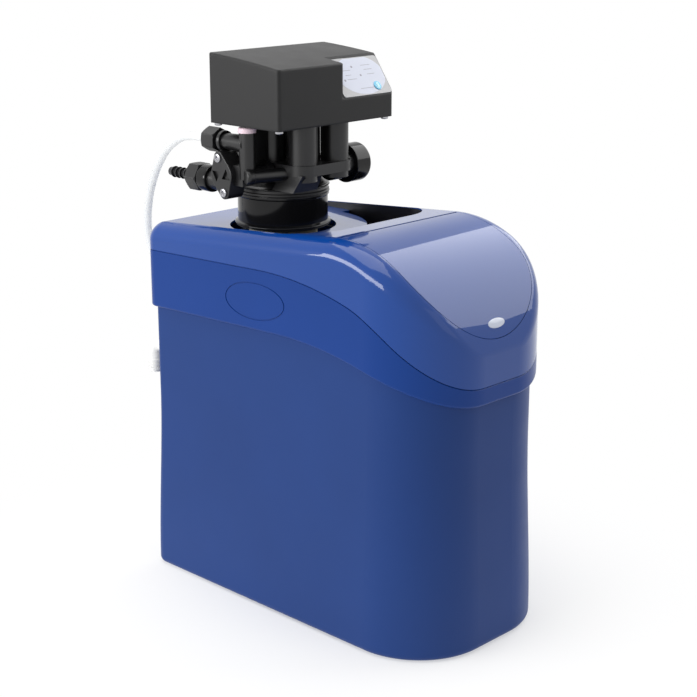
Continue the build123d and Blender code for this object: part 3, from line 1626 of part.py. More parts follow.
with BuildPart() as overflow_nut:
    with BuildSketch(Plane.XZ.offset(-back_wall + wall)):
        with Locations((elbow_x, elbow_z)):
            RegularPolygon(hexagon(elbow_nut_flats), 6)
            Circle(elbow_thread_radius + seat_gap, mode=Mode.SUBTRACT)
    extrude(amount=elbow_nut_length)
overflow_nut.part.label = "overflow_nut"
export_step(overflow_nut.part, "parts/overflow_nut.step")

# Grommet in the apron's back wall
with BuildPart() as tube_grommet:
    with BuildSketch(Plane.XZ.offset(-band_rear - grommet_flange)):
        with Locations((arm_x, grommet_z)):
            Circle(grommet_radius)
    extrude(amount=grommet_flange)
    with BuildSketch(Plane.XZ.offset(-band_rear)):
        with Locations((arm_x, grommet_z)):
            Circle(grommet_neck)
    extrude(amount=wall)
    with BuildSketch(Plane.XZ.offset(-band_rear + wall)):
        with Locations((arm_x, grommet_z)):
            Circle(grommet_radius)
    extrude(amount=grommet_flange)
    with BuildSketch(Plane.XZ.offset(-band_rear - grommet_flange)):
        with Locations((arm_x, grommet_z)):
            Circle(tube_bore)
    extrude(amount=wall + grommet_flange * 2, mode=Mode.SUBTRACT)
tube_grommet.part.label = "tube_grommet"
export_step(tube_grommet.part, "parts/tube_grommet.step")


def bend_radii(points):
    """Bend radius at each inner point: 0.45 of the shorter run over the tangent of half the turn."""
    radii = []
    for before, corner, after in zip(points, points[1:], points[2:]):
        run_in = Vector(*corner) - Vector(*before)
        run_out = Vector(*after) - Vector(*corner)
        turn = radians(run_in.get_angle(run_out))
        radii.append(run_share * min(run_in.length, run_out.length) / tan(turn / 2))
    return radii



# Brine tube outside: from the nut, over and down behind the cabinet, into the grommet
brine_tube_start = brine_nut_y + brine_nut_length
brine_tube_end = band_rear + grommet_flange
brine_tube_points = [
    (arm_x, brine_tube_start, brine_level),
    (arm_x, 154.0, brine_level),
    (-84.3, 174.0, 537.0),
    (-84.6, 199.0, 534.5),
    (-85.0, 229.0, 513.0),
    (-85.4, 249.0, 482.5),
    (-85.6, 261.5, 448.0),
    (-85.4, 264.0, 412.0),
    (-84.8, 257.0, 386.0),
    (arm_x, 241.0, grommet_z),
    (arm_x, brine_tube_end, grommet_z),
]
brine_tube_radii = bend_radii(brine_tube_points)
print("brine tube radii", [round(radius, 1) for radius in brine_tube_radii])
with BuildPart() as brine_tube:
    with BuildLine() as brine_route:
        FilletPolyline(*brine_tube_points, radius=brine_tube_radii)
    with BuildSketch(Plane.XZ.offset(-brine_tube_start)):
        with Locations((arm_x, brine_level)):
            Circle(tube_radius)
    sweep()
print("brine tube volume", round(brine_tube.part.volume),
      "section times length", round(pi * tube_radius**2 * brine_route.wire().length))
brine_tube.part.label = "brine_tube"
export_step(brine_tube.part, "parts/brine_tube.step")

# Inner brine tube: over the tank shoulder and down to the brine valve pipe
inner_start = band_rear - wall - grommet_flange
with BuildPart() as inner_brine_tube:
    with BuildLine() as inner_route:
        FilletPolyline(
            (arm_x, inner_start, grommet_z),
            (arm_x, inner_start - grommet_flange * 8, grommet_z),
            (inner_side_x, neck_y + tank_radius / 2, inner_level),
            (inner_side_x, recess_front / 2, inner_level),
            (inner_side_x + inner_bend * 2, well_y, inner_level),
            (well_x, well_y, inner_level),
            (well_x, well_y, brine_pipe_top),
            radius=inner_bend,
        )
    with BuildSketch(Plane.XZ.offset(-inner_start)):
        with Locations((arm_x, grommet_z)):
            Circle(tube_radius)
    sweep()
print("inner tube volume", round(inner_brine_tube.part.volume),
      "section times length", round(pi * tube_radius**2 * inner_route.wire().length))
inner_brine_tube.part.label = "inner_brine_tube"
export_step(inner_brine_tube.part, "parts/inner_brine_tube.step")
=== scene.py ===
"""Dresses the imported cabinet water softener: finishes, fine pieces, tube, studio and camera."""
from math import cos, pi, radians, sin

import bmesh
import bpy
import numpy as np
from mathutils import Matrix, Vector


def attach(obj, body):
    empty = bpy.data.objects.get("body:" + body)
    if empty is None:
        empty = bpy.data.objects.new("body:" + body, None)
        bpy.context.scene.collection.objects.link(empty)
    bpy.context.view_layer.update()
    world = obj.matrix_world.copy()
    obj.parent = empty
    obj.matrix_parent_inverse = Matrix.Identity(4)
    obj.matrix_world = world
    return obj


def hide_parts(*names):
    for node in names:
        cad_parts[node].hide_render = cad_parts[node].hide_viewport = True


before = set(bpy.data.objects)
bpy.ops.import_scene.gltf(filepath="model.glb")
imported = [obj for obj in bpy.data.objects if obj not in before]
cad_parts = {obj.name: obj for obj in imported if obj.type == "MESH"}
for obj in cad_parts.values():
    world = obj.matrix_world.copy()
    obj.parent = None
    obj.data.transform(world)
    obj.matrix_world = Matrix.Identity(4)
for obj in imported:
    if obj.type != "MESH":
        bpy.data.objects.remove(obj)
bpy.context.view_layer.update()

bl_info = {
    "name": "Cabinet Water Softener",
    "version": (1, 1, 0),
    "blender": (4, 5, 0),
    "location": "View3D > Sidebar > Softener",
    "description": "Builds the visible finish of a compact cabinet water softener",
    "category": "Add Mesh",
}

# Directions, the neck's axis and the floor; places on the model are in millimetres
MM = 0.001
ACROSS = np.array([1.0, 0.0, 0.0])
LEFT = (-1.0, 0.0, 0.0)
BACK = (0.0, 1.0, 0.0)
UP = (0.0, 0.0, 1.0)
DOWN = (0.0, 0.0, -1.0)
NECK = (-9.0, 101.0)
FLOOR_LEVEL = -0.3

# Hood: the crest arc, the straight fall behind it, and the recess round the valve
CREST_Y = -79.0
CREST_CENTRE = 305.5
CREST_RADIUS = 147.0
CREST_TOP = 452.5
REAR_FALL = 22.5 / 301.2
RECESS_HALF = 103.0
RECESS_FRONT = -44.0
RECESS_REAR = 206.0
RECESS_CORNER = 50.0
RIM_DROP = 1.2
DECK_LEVEL = 429.0
DECK_RADIUS = 98.0
POCKET_LEVEL = 411.0
POCKET_REAR = 97.0
# Inset of the near-black sheet of painted shade from the recess wall and floor
SHADE_SHEET_INSET = 0.3
STEP_GAP = 0.4

# Oval on the lid: how far round the crest arc it sits, and its lift at each share of the way out
LID_OVAL_TURN = radians(65.4)
LID_OVAL_PROFILE = ((0.0, 0.55), (0.25, 0.54), (0.5, 0.52), (0.75, 0.48), (0.9, 0.44), (0.95, 0.38),
                    (0.98, 0.26), (1.0, 0.05), (1.0, -0.6))

# Display slope: its foot, the way up it and out of it; its marks have profiles like the lid's oval
SLOPE = radians(54.8)
SLOPE_FOOT = np.array([36.0, 6.0, 581.5])
SLOPE_UP = np.array([0.0, cos(SLOPE), sin(SLOPE)])
SLOPE_OUT = np.array([0.0, -sin(SLOPE), cos(SLOPE)])
FILM_HALF = 38.0
FILM_LOW, FILM_TOP = 2.4, 48.6
FILM_OVAL = (2.0, 27.0)
FILM_OVAL_HALVES = (37.5, 24.5)
FILM_OVAL_PROFILE = ((0.0, 0.86), (0.4, 0.86), (0.8, 0.86), (0.97, 0.86), (1.0, 0.80))
BUTTON = (20.0, 11.5)
BUTTON_HOLE = 6.2
BUTTON_MARK_HALF = 3.6
BUTTON_MARK_WAIST, BUTTON_MARK_SWELL = 1.5, 1.3
BUTTON_MARK_PROFILE = ((0.0, 2.0), (0.5, 1.98), (0.9, 1.94), (1.0, 1.88))
WINDOWS = ((-7.0, 38.0), (1.5, 26.5), (-26.0, 22.0))
WINDOW_PROFILE = ((0.0, 1.05), (0.8, 1.03), (1.3, 0.97), (1.5, 0.84))
RULE_HALF, RULE_FACE = 0.28, 0.90
RULES = (
    (8.0, 38.6, 15.0), (10.0, 33.0, 13.0), (12.0, 27.0, 12.0), (-24.0, 34.0, 13.0),
    (-22.0, 22.6, 15.0), (-8.0, 10.0, 26.0), (-22.0, 28.0, 9.0),
)

# Screws: where each sits and how far it is turned
INJECTOR_SPOTS = (((-99.0, 110.8, 515.7), 0.5), ((-99.0, 102.0, 477.3), 0.2))
COVER_SPOTS = (
    ((-97.0, 13.0, 555.5), 0.3), ((-97.0, 111.0, 555.5), 0.7),
    ((69.0, 13.0, 555.5), 1.1), ((69.0, 111.0, 555.5), 1.5),
)

# Each set: its spots, the way it faces, head radius and height, recess, shank radius, node it replaces
SCREW_SETS = {
    "injector_screw_set": (INJECTOR_SPOTS, LEFT, 5.0, 2.6, dict(slot=0.21, depth=0.75), 1.8,
                           "injector_screws"),
    "cover_screw_set": (COVER_SPOTS, DOWN, 4.4, 3.6, {}, 1.6, "cover_screws"),
}
SHANK_LENGTH = 14.0

# Fittings: places, then outlines as (distance out, distance along) from the place
BRINE_NUT = (-84.0, 122.3, 533.0)
BRINE_NUT_FLATS, BRINE_NUT_LENGTH, BRINE_NUT_BORE = 25.0, 20.0, 5.0
DRAIN_NUT = (-79.0, 157.0, 486.0)
DRAIN_NUT_FLATS, DRAIN_NUT_LENGTH, DRAIN_NUT_BORE, DRAIN_NUT_RIB = 30.0, 18.0, 5.4, 0.12
ARM_COLLAR = (-84.0, 114.5, 533.0)
ARM_COLLAR_OUTLINE = ((8.0, -1.0), (11.6, -1.0), (11.9, 3.2), (9.0, 4.6), (8.0, 4.6))
ARM_COLLAR_ROUND = 0.8
DRAIN_BARREL = (-79.0, 141.0, 486.0)
DRAIN_BARREL_OUTLINE = ((12.0, 0.0), (15.2, 0.0), (15.5, 2.0), (15.5, 14.0), (14.4, 16.0), (12.0, 16.0))
BARREL_ROUND = 1.2
SIDE_BARREL = np.array([(-93.0, 70.3, 498.0), (-30.0, 49.0, 498.0)])
SIDE_BARREL_OUTLINE = ((0.0, -1.5), (7.4, -1.5), (8.6, 2.0), (8.6, 7.0), (7.9, 8.0))
SIDE_BARREL_RADIUS = 7.9
NECK_BEADS = ((54.6, 477.4, 1.1), (54.5, 469.6, 0.9), (55.9, 433.6, 1.2))
WEB_PLATES = (
    ((-76.0, 83.0, 499.0), (-48.0, 87.0, 553.0)),
    ((-20.0, 50.0, 508.0), (2.0, 54.0, 553.0)),
    ((-13.0, 48.4, 508.0), (-11.6, 50.2, 553.0)),
    ((-6.4, 48.4, 508.0), (-5.0, 50.2, 553.0)),
)

# Studio, in metres: each lamp's place, what it aims at, its width and height, and its power
LAMPS = {
    "overhead_box": ((-0.25, 0.35, 2.3), (0, 0, 0.3), (1.8, 1.8), 26.0),
    "left_strip": ((-1.80, 0.60, 0.88), (0, 0, 0.45), (1.8, 0.50), 28.0),
    "right_box": ((1.67, -0.45, 1.50), (0, -0.16, 0.43), (2.2, 1.1), 21.0),
    "front_box": ((0.5, -2.4, 1.2), (0, 0, 0.3), (1.2, 1.2), 2.0),
}
CAMERA_PLACE = (-1.2453, -1.1991, 0.8010)
CAMERA_WAY = (0.6904, 0.6667, -0.2807)
PHOTO_WIDTH = 697.0
FOCAL_PIXELS = 1560.0
SENSOR = 36.0
ROOM_LIGHT = 0.45

# Paper, in metres: its rings, where it turns into the backdrop, and where its bounced light falls off
PAPER_RINGS = np.concatenate([[0.0], np.linspace(0.3, 2.0, 12), np.linspace(3.0, 40.0, 12)])
PAPER_COLOUR = (0.94, 0.94, 0.94, 1)
PAPER_ROUGH = 0.9
PAPER_TURNS = (-0.10, 0.55)
BOUNCE_REACH = (0.45, 1.4)
BOUNCE_LIGHT = (1.3, 0.3)

# Noise in the mouldings as (scale, detail): slow drift of the colour, wear in the roughness, ripple
DRIFT = (6.0, 3.0)
DRIFT_RAMP = (0.3, 0.7)
WEAR = (35.0, 4.0)
RIPPLE = (14.0, 1.0)
GRAIN_DETAIL = 2.0
GRAIN_STRENGTH, RIPPLE_STRENGTH = 0.6, 0.5
LEAST_ROUGH = 0.02
BEVEL_SAMPLES = 6

# Clear tube: its colour, its lowest and highest alpha, and the facing from which the alpha rises
CLEAR_GREY = (0.52, 0.53, 0.55)
CLEAR_ALPHA = (0.05, 0.7)
CLEAR_FACING = 0.5

# Points closer than the first, in metres, become one, and edges shorter than the second go
SAME_PLACE, NO_LENGTH = 2e-6, 1e-7


# Colours and sizes
class SoftenerColours(bpy.types.PropertyGroup):
    """Colours of the moulded parts, as they look in plain daylight."""

    hood: bpy.props.FloatVectorProperty(
        name="Hood", description="Deep glossy blue of the hood and the salt lid",
        subtype="COLOR", size=3, min=0, max=1, default=(0.0015, 0.047, 0.260))
    cabinet: bpy.props.FloatVectorProperty(
        name="Cabinet", description="Satin blue of the cabinet",
        subtype="COLOR", size=3, min=0, max=1, default=(0.010, 0.040, 0.175))
    apron: bpy.props.FloatVectorProperty(
        name="Apron", description="Satin blue of the band under the hood",
        subtype="COLOR", size=3, min=0, max=1, default=(0.005, 0.040, 0.215))
    valve: bpy.props.FloatVectorProperty(
        name="Valve", description="Black of the glass-filled valve mouldings",
        subtype="COLOR", size=3, min=0, max=1, default=(0.0065, 0.0065, 0.0072))
    head: bpy.props.FloatVectorProperty(
        name="Head", description="Grained black of the control head",
        subtype="COLOR", size=3, min=0, max=1, default=(0.0085, 0.0085, 0.009))
    plug: bpy.props.FloatVectorProperty(
        name="Plug", description="Pale pink of the stub plug",
        subtype="COLOR", size=3, min=0, max=1, default=(1.0, 0.74, 0.83))
    button: bpy.props.FloatVectorProperty(
        name="Button", description="Cyan of the push button",
        subtype="COLOR", size=3, min=0, max=1, default=(0.10, 0.50, 0.74))


class SoftenerSizes(bpy.types.PropertyGroup):
    """Sizes of the pieces that the scene adds."""

    tube_diameter: bpy.props.FloatProperty(
        name="Tube diameter", description="Outer diameter of the brine tube",
        unit="LENGTH", default=0.0095, min=0.004, max=0.02)
    oval_width: bpy.props.FloatProperty(
        name="Lid oval width", description="Width of the plain raised oval near the lid's tip",
        unit="LENGTH", default=0.027, min=0.01, max=0.06)
    oval_height: bpy.props.FloatProperty(
        name="Lid oval height", description="Height of the plain raised oval, along the lid",
        unit="LENGTH", default=0.0105, min=0.005, max=0.04)


# Surfaces
def round_angles(steps):
    """Angles evenly spaced round a full turn, the last one a step short of the first."""
    return np.linspace(0, 2 * pi, steps, endpoint=False)


def columns(profile):
    """The two columns of a profile, each upright so that it spreads over a row of angles."""
    return np.array(profile).T[:, :, None]


def rows_and_columns(shape, close_u, close_v, start):
    """Quads of a grid of points: four neighbours make a face, and either way may join its ends."""
    rows, columns = shape
    index = start + np.arange(rows * columns).reshape(rows, columns)
    first = index if close_u else index[:-1]
    after = np.roll(index, -1, axis=0) if close_u else index[1:]
    if close_v:
        quads = [first, np.roll(first, -1, axis=1), np.roll(after, -1, axis=1), after]
    else:
        quads = [first[:, :-1], first[:, 1:], after[:, 1:], after[:, :-1]]
    return np.stack(quads, axis=-1).reshape(-1, 4)


def surface(name, *sheets, edge=35.0, outward=True):
    """One mesh of several point grids in millimetres; doubles merge, faces turn out, edges stay crisp."""
    points, faces, start = [], [], 0
    for grid, close_u, close_v in sheets:
        grid = np.asarray(grid, dtype=float)
        faces.append(rows_and_columns(grid.shape[:2], close_u, close_v, start))
        points.append(grid.reshape(-1, 3) * MM)
        start += grid.shape[0] * grid.shape[1]
    mesh = bpy.data.meshes.new(name)
    mesh.from_pydata(np.concatenate(points).tolist(), [], np.concatenate(faces).tolist())
    if outward:
        work = bmesh.new()
        work.from_mesh(mesh)
        bmesh.ops.remove_doubles(work, verts=work.verts, dist=SAME_PLACE)
        bmesh.ops.dissolve_degenerate(work, edges=work.edges, dist=NO_LENGTH)
        bmesh.ops.recalc_face_normals(work, faces=work.faces)
        work.to_mesh(mesh)
        work.free()
    mesh.shade_smooth()
    mesh.set_sharp_from_angle(angle=radians(edge))
    piece = bpy.data.objects.new(name, mesh)
    bpy.context.scene.collection.objects.link(piece)
    return piece


def softened(corners, radius, steps=5, most=0.45):
    """Polyline with each inner corner turned into a short quadratic curve.

    The curve starts the radius before the corner, but at most the given share of either side.
    """
    corners = np.asarray(corners, dtype=float)
    share = np.linspace(0, 1, steps + 1)[:, None]
    line = [corners[:1]]
    for before, corner, after in zip(corners, corners[1:], corners[2:]):
        ways = [before - corner, after - corner]
        spans = [np.linalg.norm(way) for way in ways]
        cut = min(radius, spans[0] * most, spans[1] * most)
        start, end = corner + ways[0] / spans[0] * cut, corner + ways[1] / spans[1] * cut
        line.append((1 - share) ** 2 * start + 2 * share * (1 - share) * corner + share ** 2 * end)
    line.append(corners[-1:])
    return np.concatenate(line)


def square_axes(along):
    """The given axis at unit length, and two unit ways square to it."""
    along = np.asarray(along, dtype=float) / np.linalg.norm(along)
    helper = np.array(UP) if abs(along[2]) < 0.9 else np.array(BACK)
    side = np.cross(helper, along)
    side /= np.linalg.norm(side)
    return along, side, np.cross(along, side)


def turned(profile, base, along, steps=72):
    """Surface of revolution: each pair is (distance out, distance along the axis), carried round it."""
    along, side, up = square_axes(along)
    out, run = np.asarray(profile, dtype=float).T[:, :, None, None]
    angle = round_angles(steps)[None, :, None]
    points = np.asarray(base) + run * along + out * (np.cos(angle) * side + np.sin(angle) * up)
    return points, False, True


def nut(base, along, flats, length, bore, twist, ribs=0.0, steps=216, sharpness=44):
    """Hexagon nut: the distance out is the lesser of a softened hexagon and a cone at each end.

    The hexagon is half its flats over the sharpness-norm of the six cosines to its flats, and
    fine ribs can run round it, as a sine of the distance along.
    """
    chamfer, chamfer_slope, rib_pitch = 0.35, 1.6, 1.6
    along, side, up = square_axes(along)
    angle = round_angles(steps)
    spread = np.stack([np.cos(angle - twist - flat * pi / 3) for flat in range(6)])
    hexagon = flats / 2 / np.power(np.power(np.clip(spread, 0, 1), sharpness).sum(axis=0), 1 / sharpness)
    share = np.concatenate([np.linspace(0, 0.16, 9), np.linspace(0.2, 0.8, 13), np.linspace(0.84, 1, 9)])
    run = share * length
    near = np.minimum(run, length - run)
    wave = ribs * np.sin(run[:, None] * 2 * pi / rib_pitch) * (near[:, None] > length * 0.12)
    out = np.minimum(hexagon[None, :] + wave, (flats / 2 + chamfer + near * chamfer_slope)[:, None])
    hole = np.full((1, steps), bore)
    out = np.concatenate([hole, out, hole, hole])
    run = np.concatenate([[0.0], run, [length], [0.0]])
    points = (np.asarray(base) + run[:, None, None] * along
              + out[..., None] * (np.cos(angle)[:, None] * side + np.sin(angle)[:, None] * up))
    return points, False, True


def cross_head(centre, along, radius, height, cross=0.52, slot=0.17, depth=0.6, turn=0.4):
    """Pan head with a cross recess: a square grid is pressed into a disc, then raised and slotted.

    Cross, slot and depth are shares of the head: the reach of the recess, half the width of its
    slots and how deep it goes. Past the disc's rim the grid goes down the side to the seat.
    """
    skirt, rim_height, dome_power, slot_end = 0.2, 0.62, 3.2, 0.12
    along, side, up = square_axes(along)
    axis = np.array([0, slot * 0.55, slot * 0.8, slot * 1.15, cross * 0.6, cross, cross * 1.2,
                     0.72, 0.82, 0.9, 0.96, 1.0, 1.05, 1.12, 1 + skirt])
    axis = np.concatenate([-axis[:0:-1], axis])
    u, v = np.meshgrid(axis, axis, indexing="ij")
    reach = np.maximum(np.abs(u), np.abs(v))
    beyond = np.clip((reach - 1) / skirt, 0, 1)
    u, v = u / np.maximum(reach, 1), v / np.maximum(reach, 1)
    x, y = u * np.sqrt(1 - v * v / 2), v * np.sqrt(1 - u * u / 2)
    out = np.clip(np.hypot(x, y), 0, 1)
    dome = np.sqrt(np.clip(1 - out ** dome_power, 0, 1))
    crown = height * (rim_height + (1 - rim_height) * dome)
    narrow, wide = np.minimum(np.abs(x), np.abs(y)), np.maximum(np.abs(x), np.abs(y))
    slotted = np.clip((slot * 1.15 - narrow) / (slot * 0.5), 0, 1)
    slotted = slotted * np.clip((cross - wide) / slot_end, 0, 1)
    raised = (crown - depth * height * slotted) * (1 - beyond)
    x, y = x * cos(turn) - y * sin(turn), x * sin(turn) + y * cos(turn)
    points = (np.asarray(centre) + radius * (x[..., None] * side + y[..., None] * up)
              + raised[..., None] * along)
    return points, False, False


def shank(centre, along, radius, length):
    """Screw shank below the head's seat, with a blunt tip."""
    profile = [(0, -length), (radius * 0.6, -length), (radius, -length + radius), (radius, 0.2), (0, 0.2)]
    return turned(profile, centre, along, 24)


def slab(low, high):
    """Upright plate between two corners: its rectangle is carried up from one level to the other."""
    (x, y, z), (far_x, far_y, top) = low, high
    ring = np.array([(x, y), (far_x, y), (far_x, far_y), (x, far_y)], dtype=float)
    middle = np.broadcast_to(ring.mean(axis=0), ring.shape)
    rings = [(middle, z), (ring, z), (ring, top), (middle, top)]
    grid = np.stack([np.column_stack([plan, np.full(len(plan), level)]) for plan, level in rings])
    return grid, False, True


def bead(radius, level, curve):
    """Rounded bead round the neck: a half circle of the given curve, turned about the neck's axis."""
    angle = np.linspace(-pi / 2, pi / 2, 9)
    profile = [(radius - curve + curve * cos(turn), level + curve * sin(turn)) for turn in angle]
    root = radius - 3 * curve
    return turned([(root, level - curve), *profile, (root, level + curve)], (*NECK, 0.0), UP, 144)


def show(piece, body, material, slot, *nodes):
    """Lets a piece ride on a body, gives it its finish and hides the nodes that it stands for."""
    piece.data.materials.append(bpy.data.materials[material])
    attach(piece, body)
    if nodes:
        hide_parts(*nodes)
    return piece


# Materials
def shader(name):
    """A new node material with its Principled shader."""
    material = bpy.data.materials.new(name)
    material.use_nodes = True
    tree = material.node_tree
    return material, tree, tree.nodes["Principled BSDF"]


def node(tree, kind, **values):
    """Adds a node and sets its named inputs or properties; an underscore stands for a space."""
    made = tree.nodes.new(kind)
    for key, value in values.items():
        if key.replace("_", " ") in made.inputs:
            made.inputs[key.replace("_", " ")].default_value = value
        else:
            setattr(made, key.lower(), value)
    return made


def ranged(tree, source, *, low, high, start=0.0, end=1.0, smooth=False):
    """The source's value carried from start to end over to low to high."""
    kind = "SMOOTHSTEP" if smooth else "LINEAR"
    spread = node(tree, "ShaderNodeMapRange", Interpolation_Type=kind, From_Min=start, From_Max=end,
                  To_Min=low, To_Max=high)
    tree.links.new(source, spread.inputs["Value"])
    return spread.outputs["Result"]


def moulded(name, colour, rough, grain, depth, coat=0.0, mottle=0.06, rough_change=0.06, metallic=0.0,
            specular=0.5, coat_rough=0.02, coat_ior=1.5, ripple=0.0, rounded=0.0):
    """Moulded plastic or plated metal, from noise in the piece's own coordinates.

    Colour drifts by the mottle's share and roughness by its change. A grain of the given
    frequency and depth stands on the surface, over a slower ripple or softened edges.
    """
    material, tree, principled = shader(name)
    link = tree.links.new
    place = node(tree, "ShaderNodeTexCoord")

    def noise(scale, detail):
        made = node(tree, "ShaderNodeTexNoise", Scale=scale, Detail=detail)
        link(place.outputs["Object"], made.inputs["Vector"])
        return made.outputs["Fac"]

    ramp = node(tree, "ShaderNodeValToRGB")
    for element, position, change in zip(ramp.color_ramp.elements, DRIFT_RAMP, (1 - mottle, 1 + mottle)):
        element.position = position
        element.color = (*[min(1.0, channel * change) for channel in colour], 1)
    link(noise(*DRIFT), ramp.inputs["Fac"])
    link(ramp.outputs["Color"], principled.inputs["Base Color"])
    least = max(LEAST_ROUGH, rough - rough_change)
    link(ranged(tree, noise(*WEAR), low=least, high=rough + rough_change), principled.inputs["Roughness"])
    bump = node(tree, "ShaderNodeBump", Strength=GRAIN_STRENGTH, Distance=depth)
    link(noise(grain, GRAIN_DETAIL), bump.inputs["Height"])
    if ripple:
        sink = node(tree, "ShaderNodeBump", Strength=RIPPLE_STRENGTH, Distance=ripple)
        link(noise(*RIPPLE), sink.inputs["Height"])
        link(sink.outputs["Normal"], bump.inputs["Normal"])
    if rounded:
        softer = node(tree, "ShaderNodeBevel", Radius=rounded)
        softer.samples = BEVEL_SAMPLES
        link(softer.outputs["Normal"], bump.inputs["Normal"])
    link(bump.outputs["Normal"], principled.inputs["Normal"])
    principled.inputs["Metallic"].default_value = metallic
    principled.inputs["Specular IOR Level"].default_value = specular
    if coat:
        principled.inputs["Coat Weight"].default_value = coat
        principled.inputs["Coat Roughness"].default_value = coat_rough
        principled.inputs["Coat IOR"].default_value = coat_ior
    return material


def clear_tube(name, colour):
    """Clear soft tube: seen through where it faces the eye, and a thin grey wall at its two edges."""
    material = moulded(name, colour, 0.12, 60.0, 0.000002, mottle=0.02, rough_change=0.02)
    tree = material.node_tree
    facing = node(tree, "ShaderNodeLayerWeight", Blend=0.3)
    wall = ranged(tree, facing.outputs["Facing"], low=CLEAR_ALPHA[0], high=CLEAR_ALPHA[1],
                  start=CLEAR_FACING, smooth=True)
    tree.links.new(wall, tree.nodes["Principled BSDF"].inputs["Alpha"])
    return material


def finish_table(colours):
    """Each finish by name: colour, roughness, grain, depth of the grain, and what else it has."""
    metal = dict(metallic=1.0, mottle=0.04)
    return {
        "hood_gloss": (colours.hood, 0.30, 420.0, 0.000008, dict(
            coat=1.0, mottle=0.03, rough_change=0.02, specular=0.08, coat_rough=0.015, coat_ior=1.40,
            ripple=0.00006)),
        "cabinet_satin": (colours.cabinet, 0.42, 1500.0, 0.00002, dict(mottle=0.05, specular=0.2)),
        "apron_satin": (colours.apron, 0.34, 1500.0, 0.00002, dict(
            mottle=0.04, specular=0.12, coat=0.2, coat_rough=0.1, coat_ior=1.4)),
        "valve_satin": (colours.valve, 0.34, 1100.0, 0.00003, dict(mottle=0.2, rough_change=0.1)),
        "collar_gloss": (colours.valve, 0.12, 500.0, 0.000006, dict(
            mottle=0.1, rough_change=0.03, specular=0.28, ripple=0.00008)),
        "head_grain": (colours.head, 0.46, 1800.0, 0.00006, dict(
            mottle=0.10, specular=0.3, rounded=0.0035)),
        "zinc_screws": ((0.40, 0.40, 0.42), 0.22, 900.0, 0.00002, metal),
        "spring_wire": ((0.5, 0.5, 0.52), 0.3, 900.0, 0.00002, metal),
        "plug_pink": (colours.plug, 0.28, 300.0, 0.00002, {}),
        "button_cyan": (colours.button, 0.18, 300.0, 0.00001, dict(coat=0.5)),
        "button_pale": ((0.52, 0.86, 0.96), 0.25, 300.0, 0.00001, {}),
        "panel_film": ((0.46, 0.46, 0.47), 0.3, 900.0, 0.00001, dict(mottle=0.05)),
        "panel_lilac": ((0.62, 0.65, 0.76), 0.3, 900.0, 0.00001, dict(mottle=0.03)),
        "panel_print": ((0.30, 0.30, 0.36), 0.35, 900.0, 0.00001, dict(mottle=0.05)),
        "oval_film": ((0.55, 0.60, 0.72), 0.2, 700.0, 0.00001, dict(coat=0.6)),
        # Near-black finish that paints the shade on the hood's blue recess wall and pocket floor
        "recess_painted_shade": ((0.006, 0.006, 0.010), 0.35, 600.0, 0.00003, dict(mottle=0.1)),
        "fitting_white": ((0.80, 0.80, 0.79), 0.3, 400.0, 0.00003, {}),
        "natural_plastic": ((0.70, 0.70, 0.66), 0.42, 200.0, 0.00006, {}),
        "tank_wound": ((0.45, 0.42, 0.34), 0.5, 120.0, 0.0004, dict(mottle=0.15)),
        "seal_rubber": ((0.012, 0.012, 0.012), 0.6, 700.0, 0.00005, {}),
        "board_green": ((0.01, 0.10, 0.04), 0.4, 500.0, 0.00002, {}),
        "gear_ivory": ((0.72, 0.70, 0.62), 0.35, 400.0, 0.00002, {}),
        "motor_can": ((0.45, 0.45, 0.47), 0.35, 900.0, 0.00002, metal),
    }


PAINTED = {
    "hood_gloss": ("hood_cover", "salt_lid"),
    "cabinet_satin": ("cabinet_body",),
    "apron_satin": ("hood_apron",),
    "valve_satin": ("valve_body", "injector_body", "injector_cap", "brine_nut", "drain_collar",
                    "drain_nut", "drain_barb"),
    "collar_gloss": ("neck_collar", "port_cap", "tank_foot"),
    "head_grain": ("control_base", "control_cover"),
    "zinc_screws": ("cover_screws", "injector_screws"),
    "spring_wire": ("piston_spring_1", "piston_spring_2", "piston_spring_3", "piston_spring_4"),
    "motor_can": ("gear_motor",),
    "plug_pink": ("stub_plug",),
    "button_cyan": ("push_button",),
    "panel_film": ("display_panel",),
    "fitting_white": ("overflow_elbow", "overflow_nut", "brine_valve"),
    "natural_plastic": ("riser_tube", "lower_basket", "upper_basket", "brine_well", "brine_well_cap",
                        "brine_float", "salt_grid", "piston_1", "piston_2", "piston_3", "piston_4"),
    "tank_wound": ("resin_tank",),
    "seal_rubber": ("neck_seal", "overflow_gasket", "tube_grommet"),
    "board_green": ("circuit_board",),
    "gear_ivory": ("pilot_disc", "drive_gear", "motor_pinion"),
    "tube_clear": ("inner_brine_tube", "brine_tube"),
}


# Operators
class SOFTENER_OT_finishes(bpy.types.Operator):
    """Gives every carried piece its finish"""

    bl_idname = "softener.finishes"
    bl_label = "Finishes"

    def execute(self, context):
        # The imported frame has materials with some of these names, so the new ones are handed on
        table = finish_table(context.scene.softener_colours)
        made = {name: moulded(name, *basics, **more) for name, (*basics, more) in table.items()}
        made["tube_clear"] = clear_tube("tube_clear", CLEAR_GREY)
        for finish, names in PAINTED.items():
            self.paint(names, made[finish])
        return {"FINISHED"}

    def paint(self, names, material):
        """Gives every slot of each named node the material."""
        for name in names:
            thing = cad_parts[name]
            if not thing.material_slots:
                thing.data.materials.append(material)
            for slot in thing.material_slots:
                slot.material = material


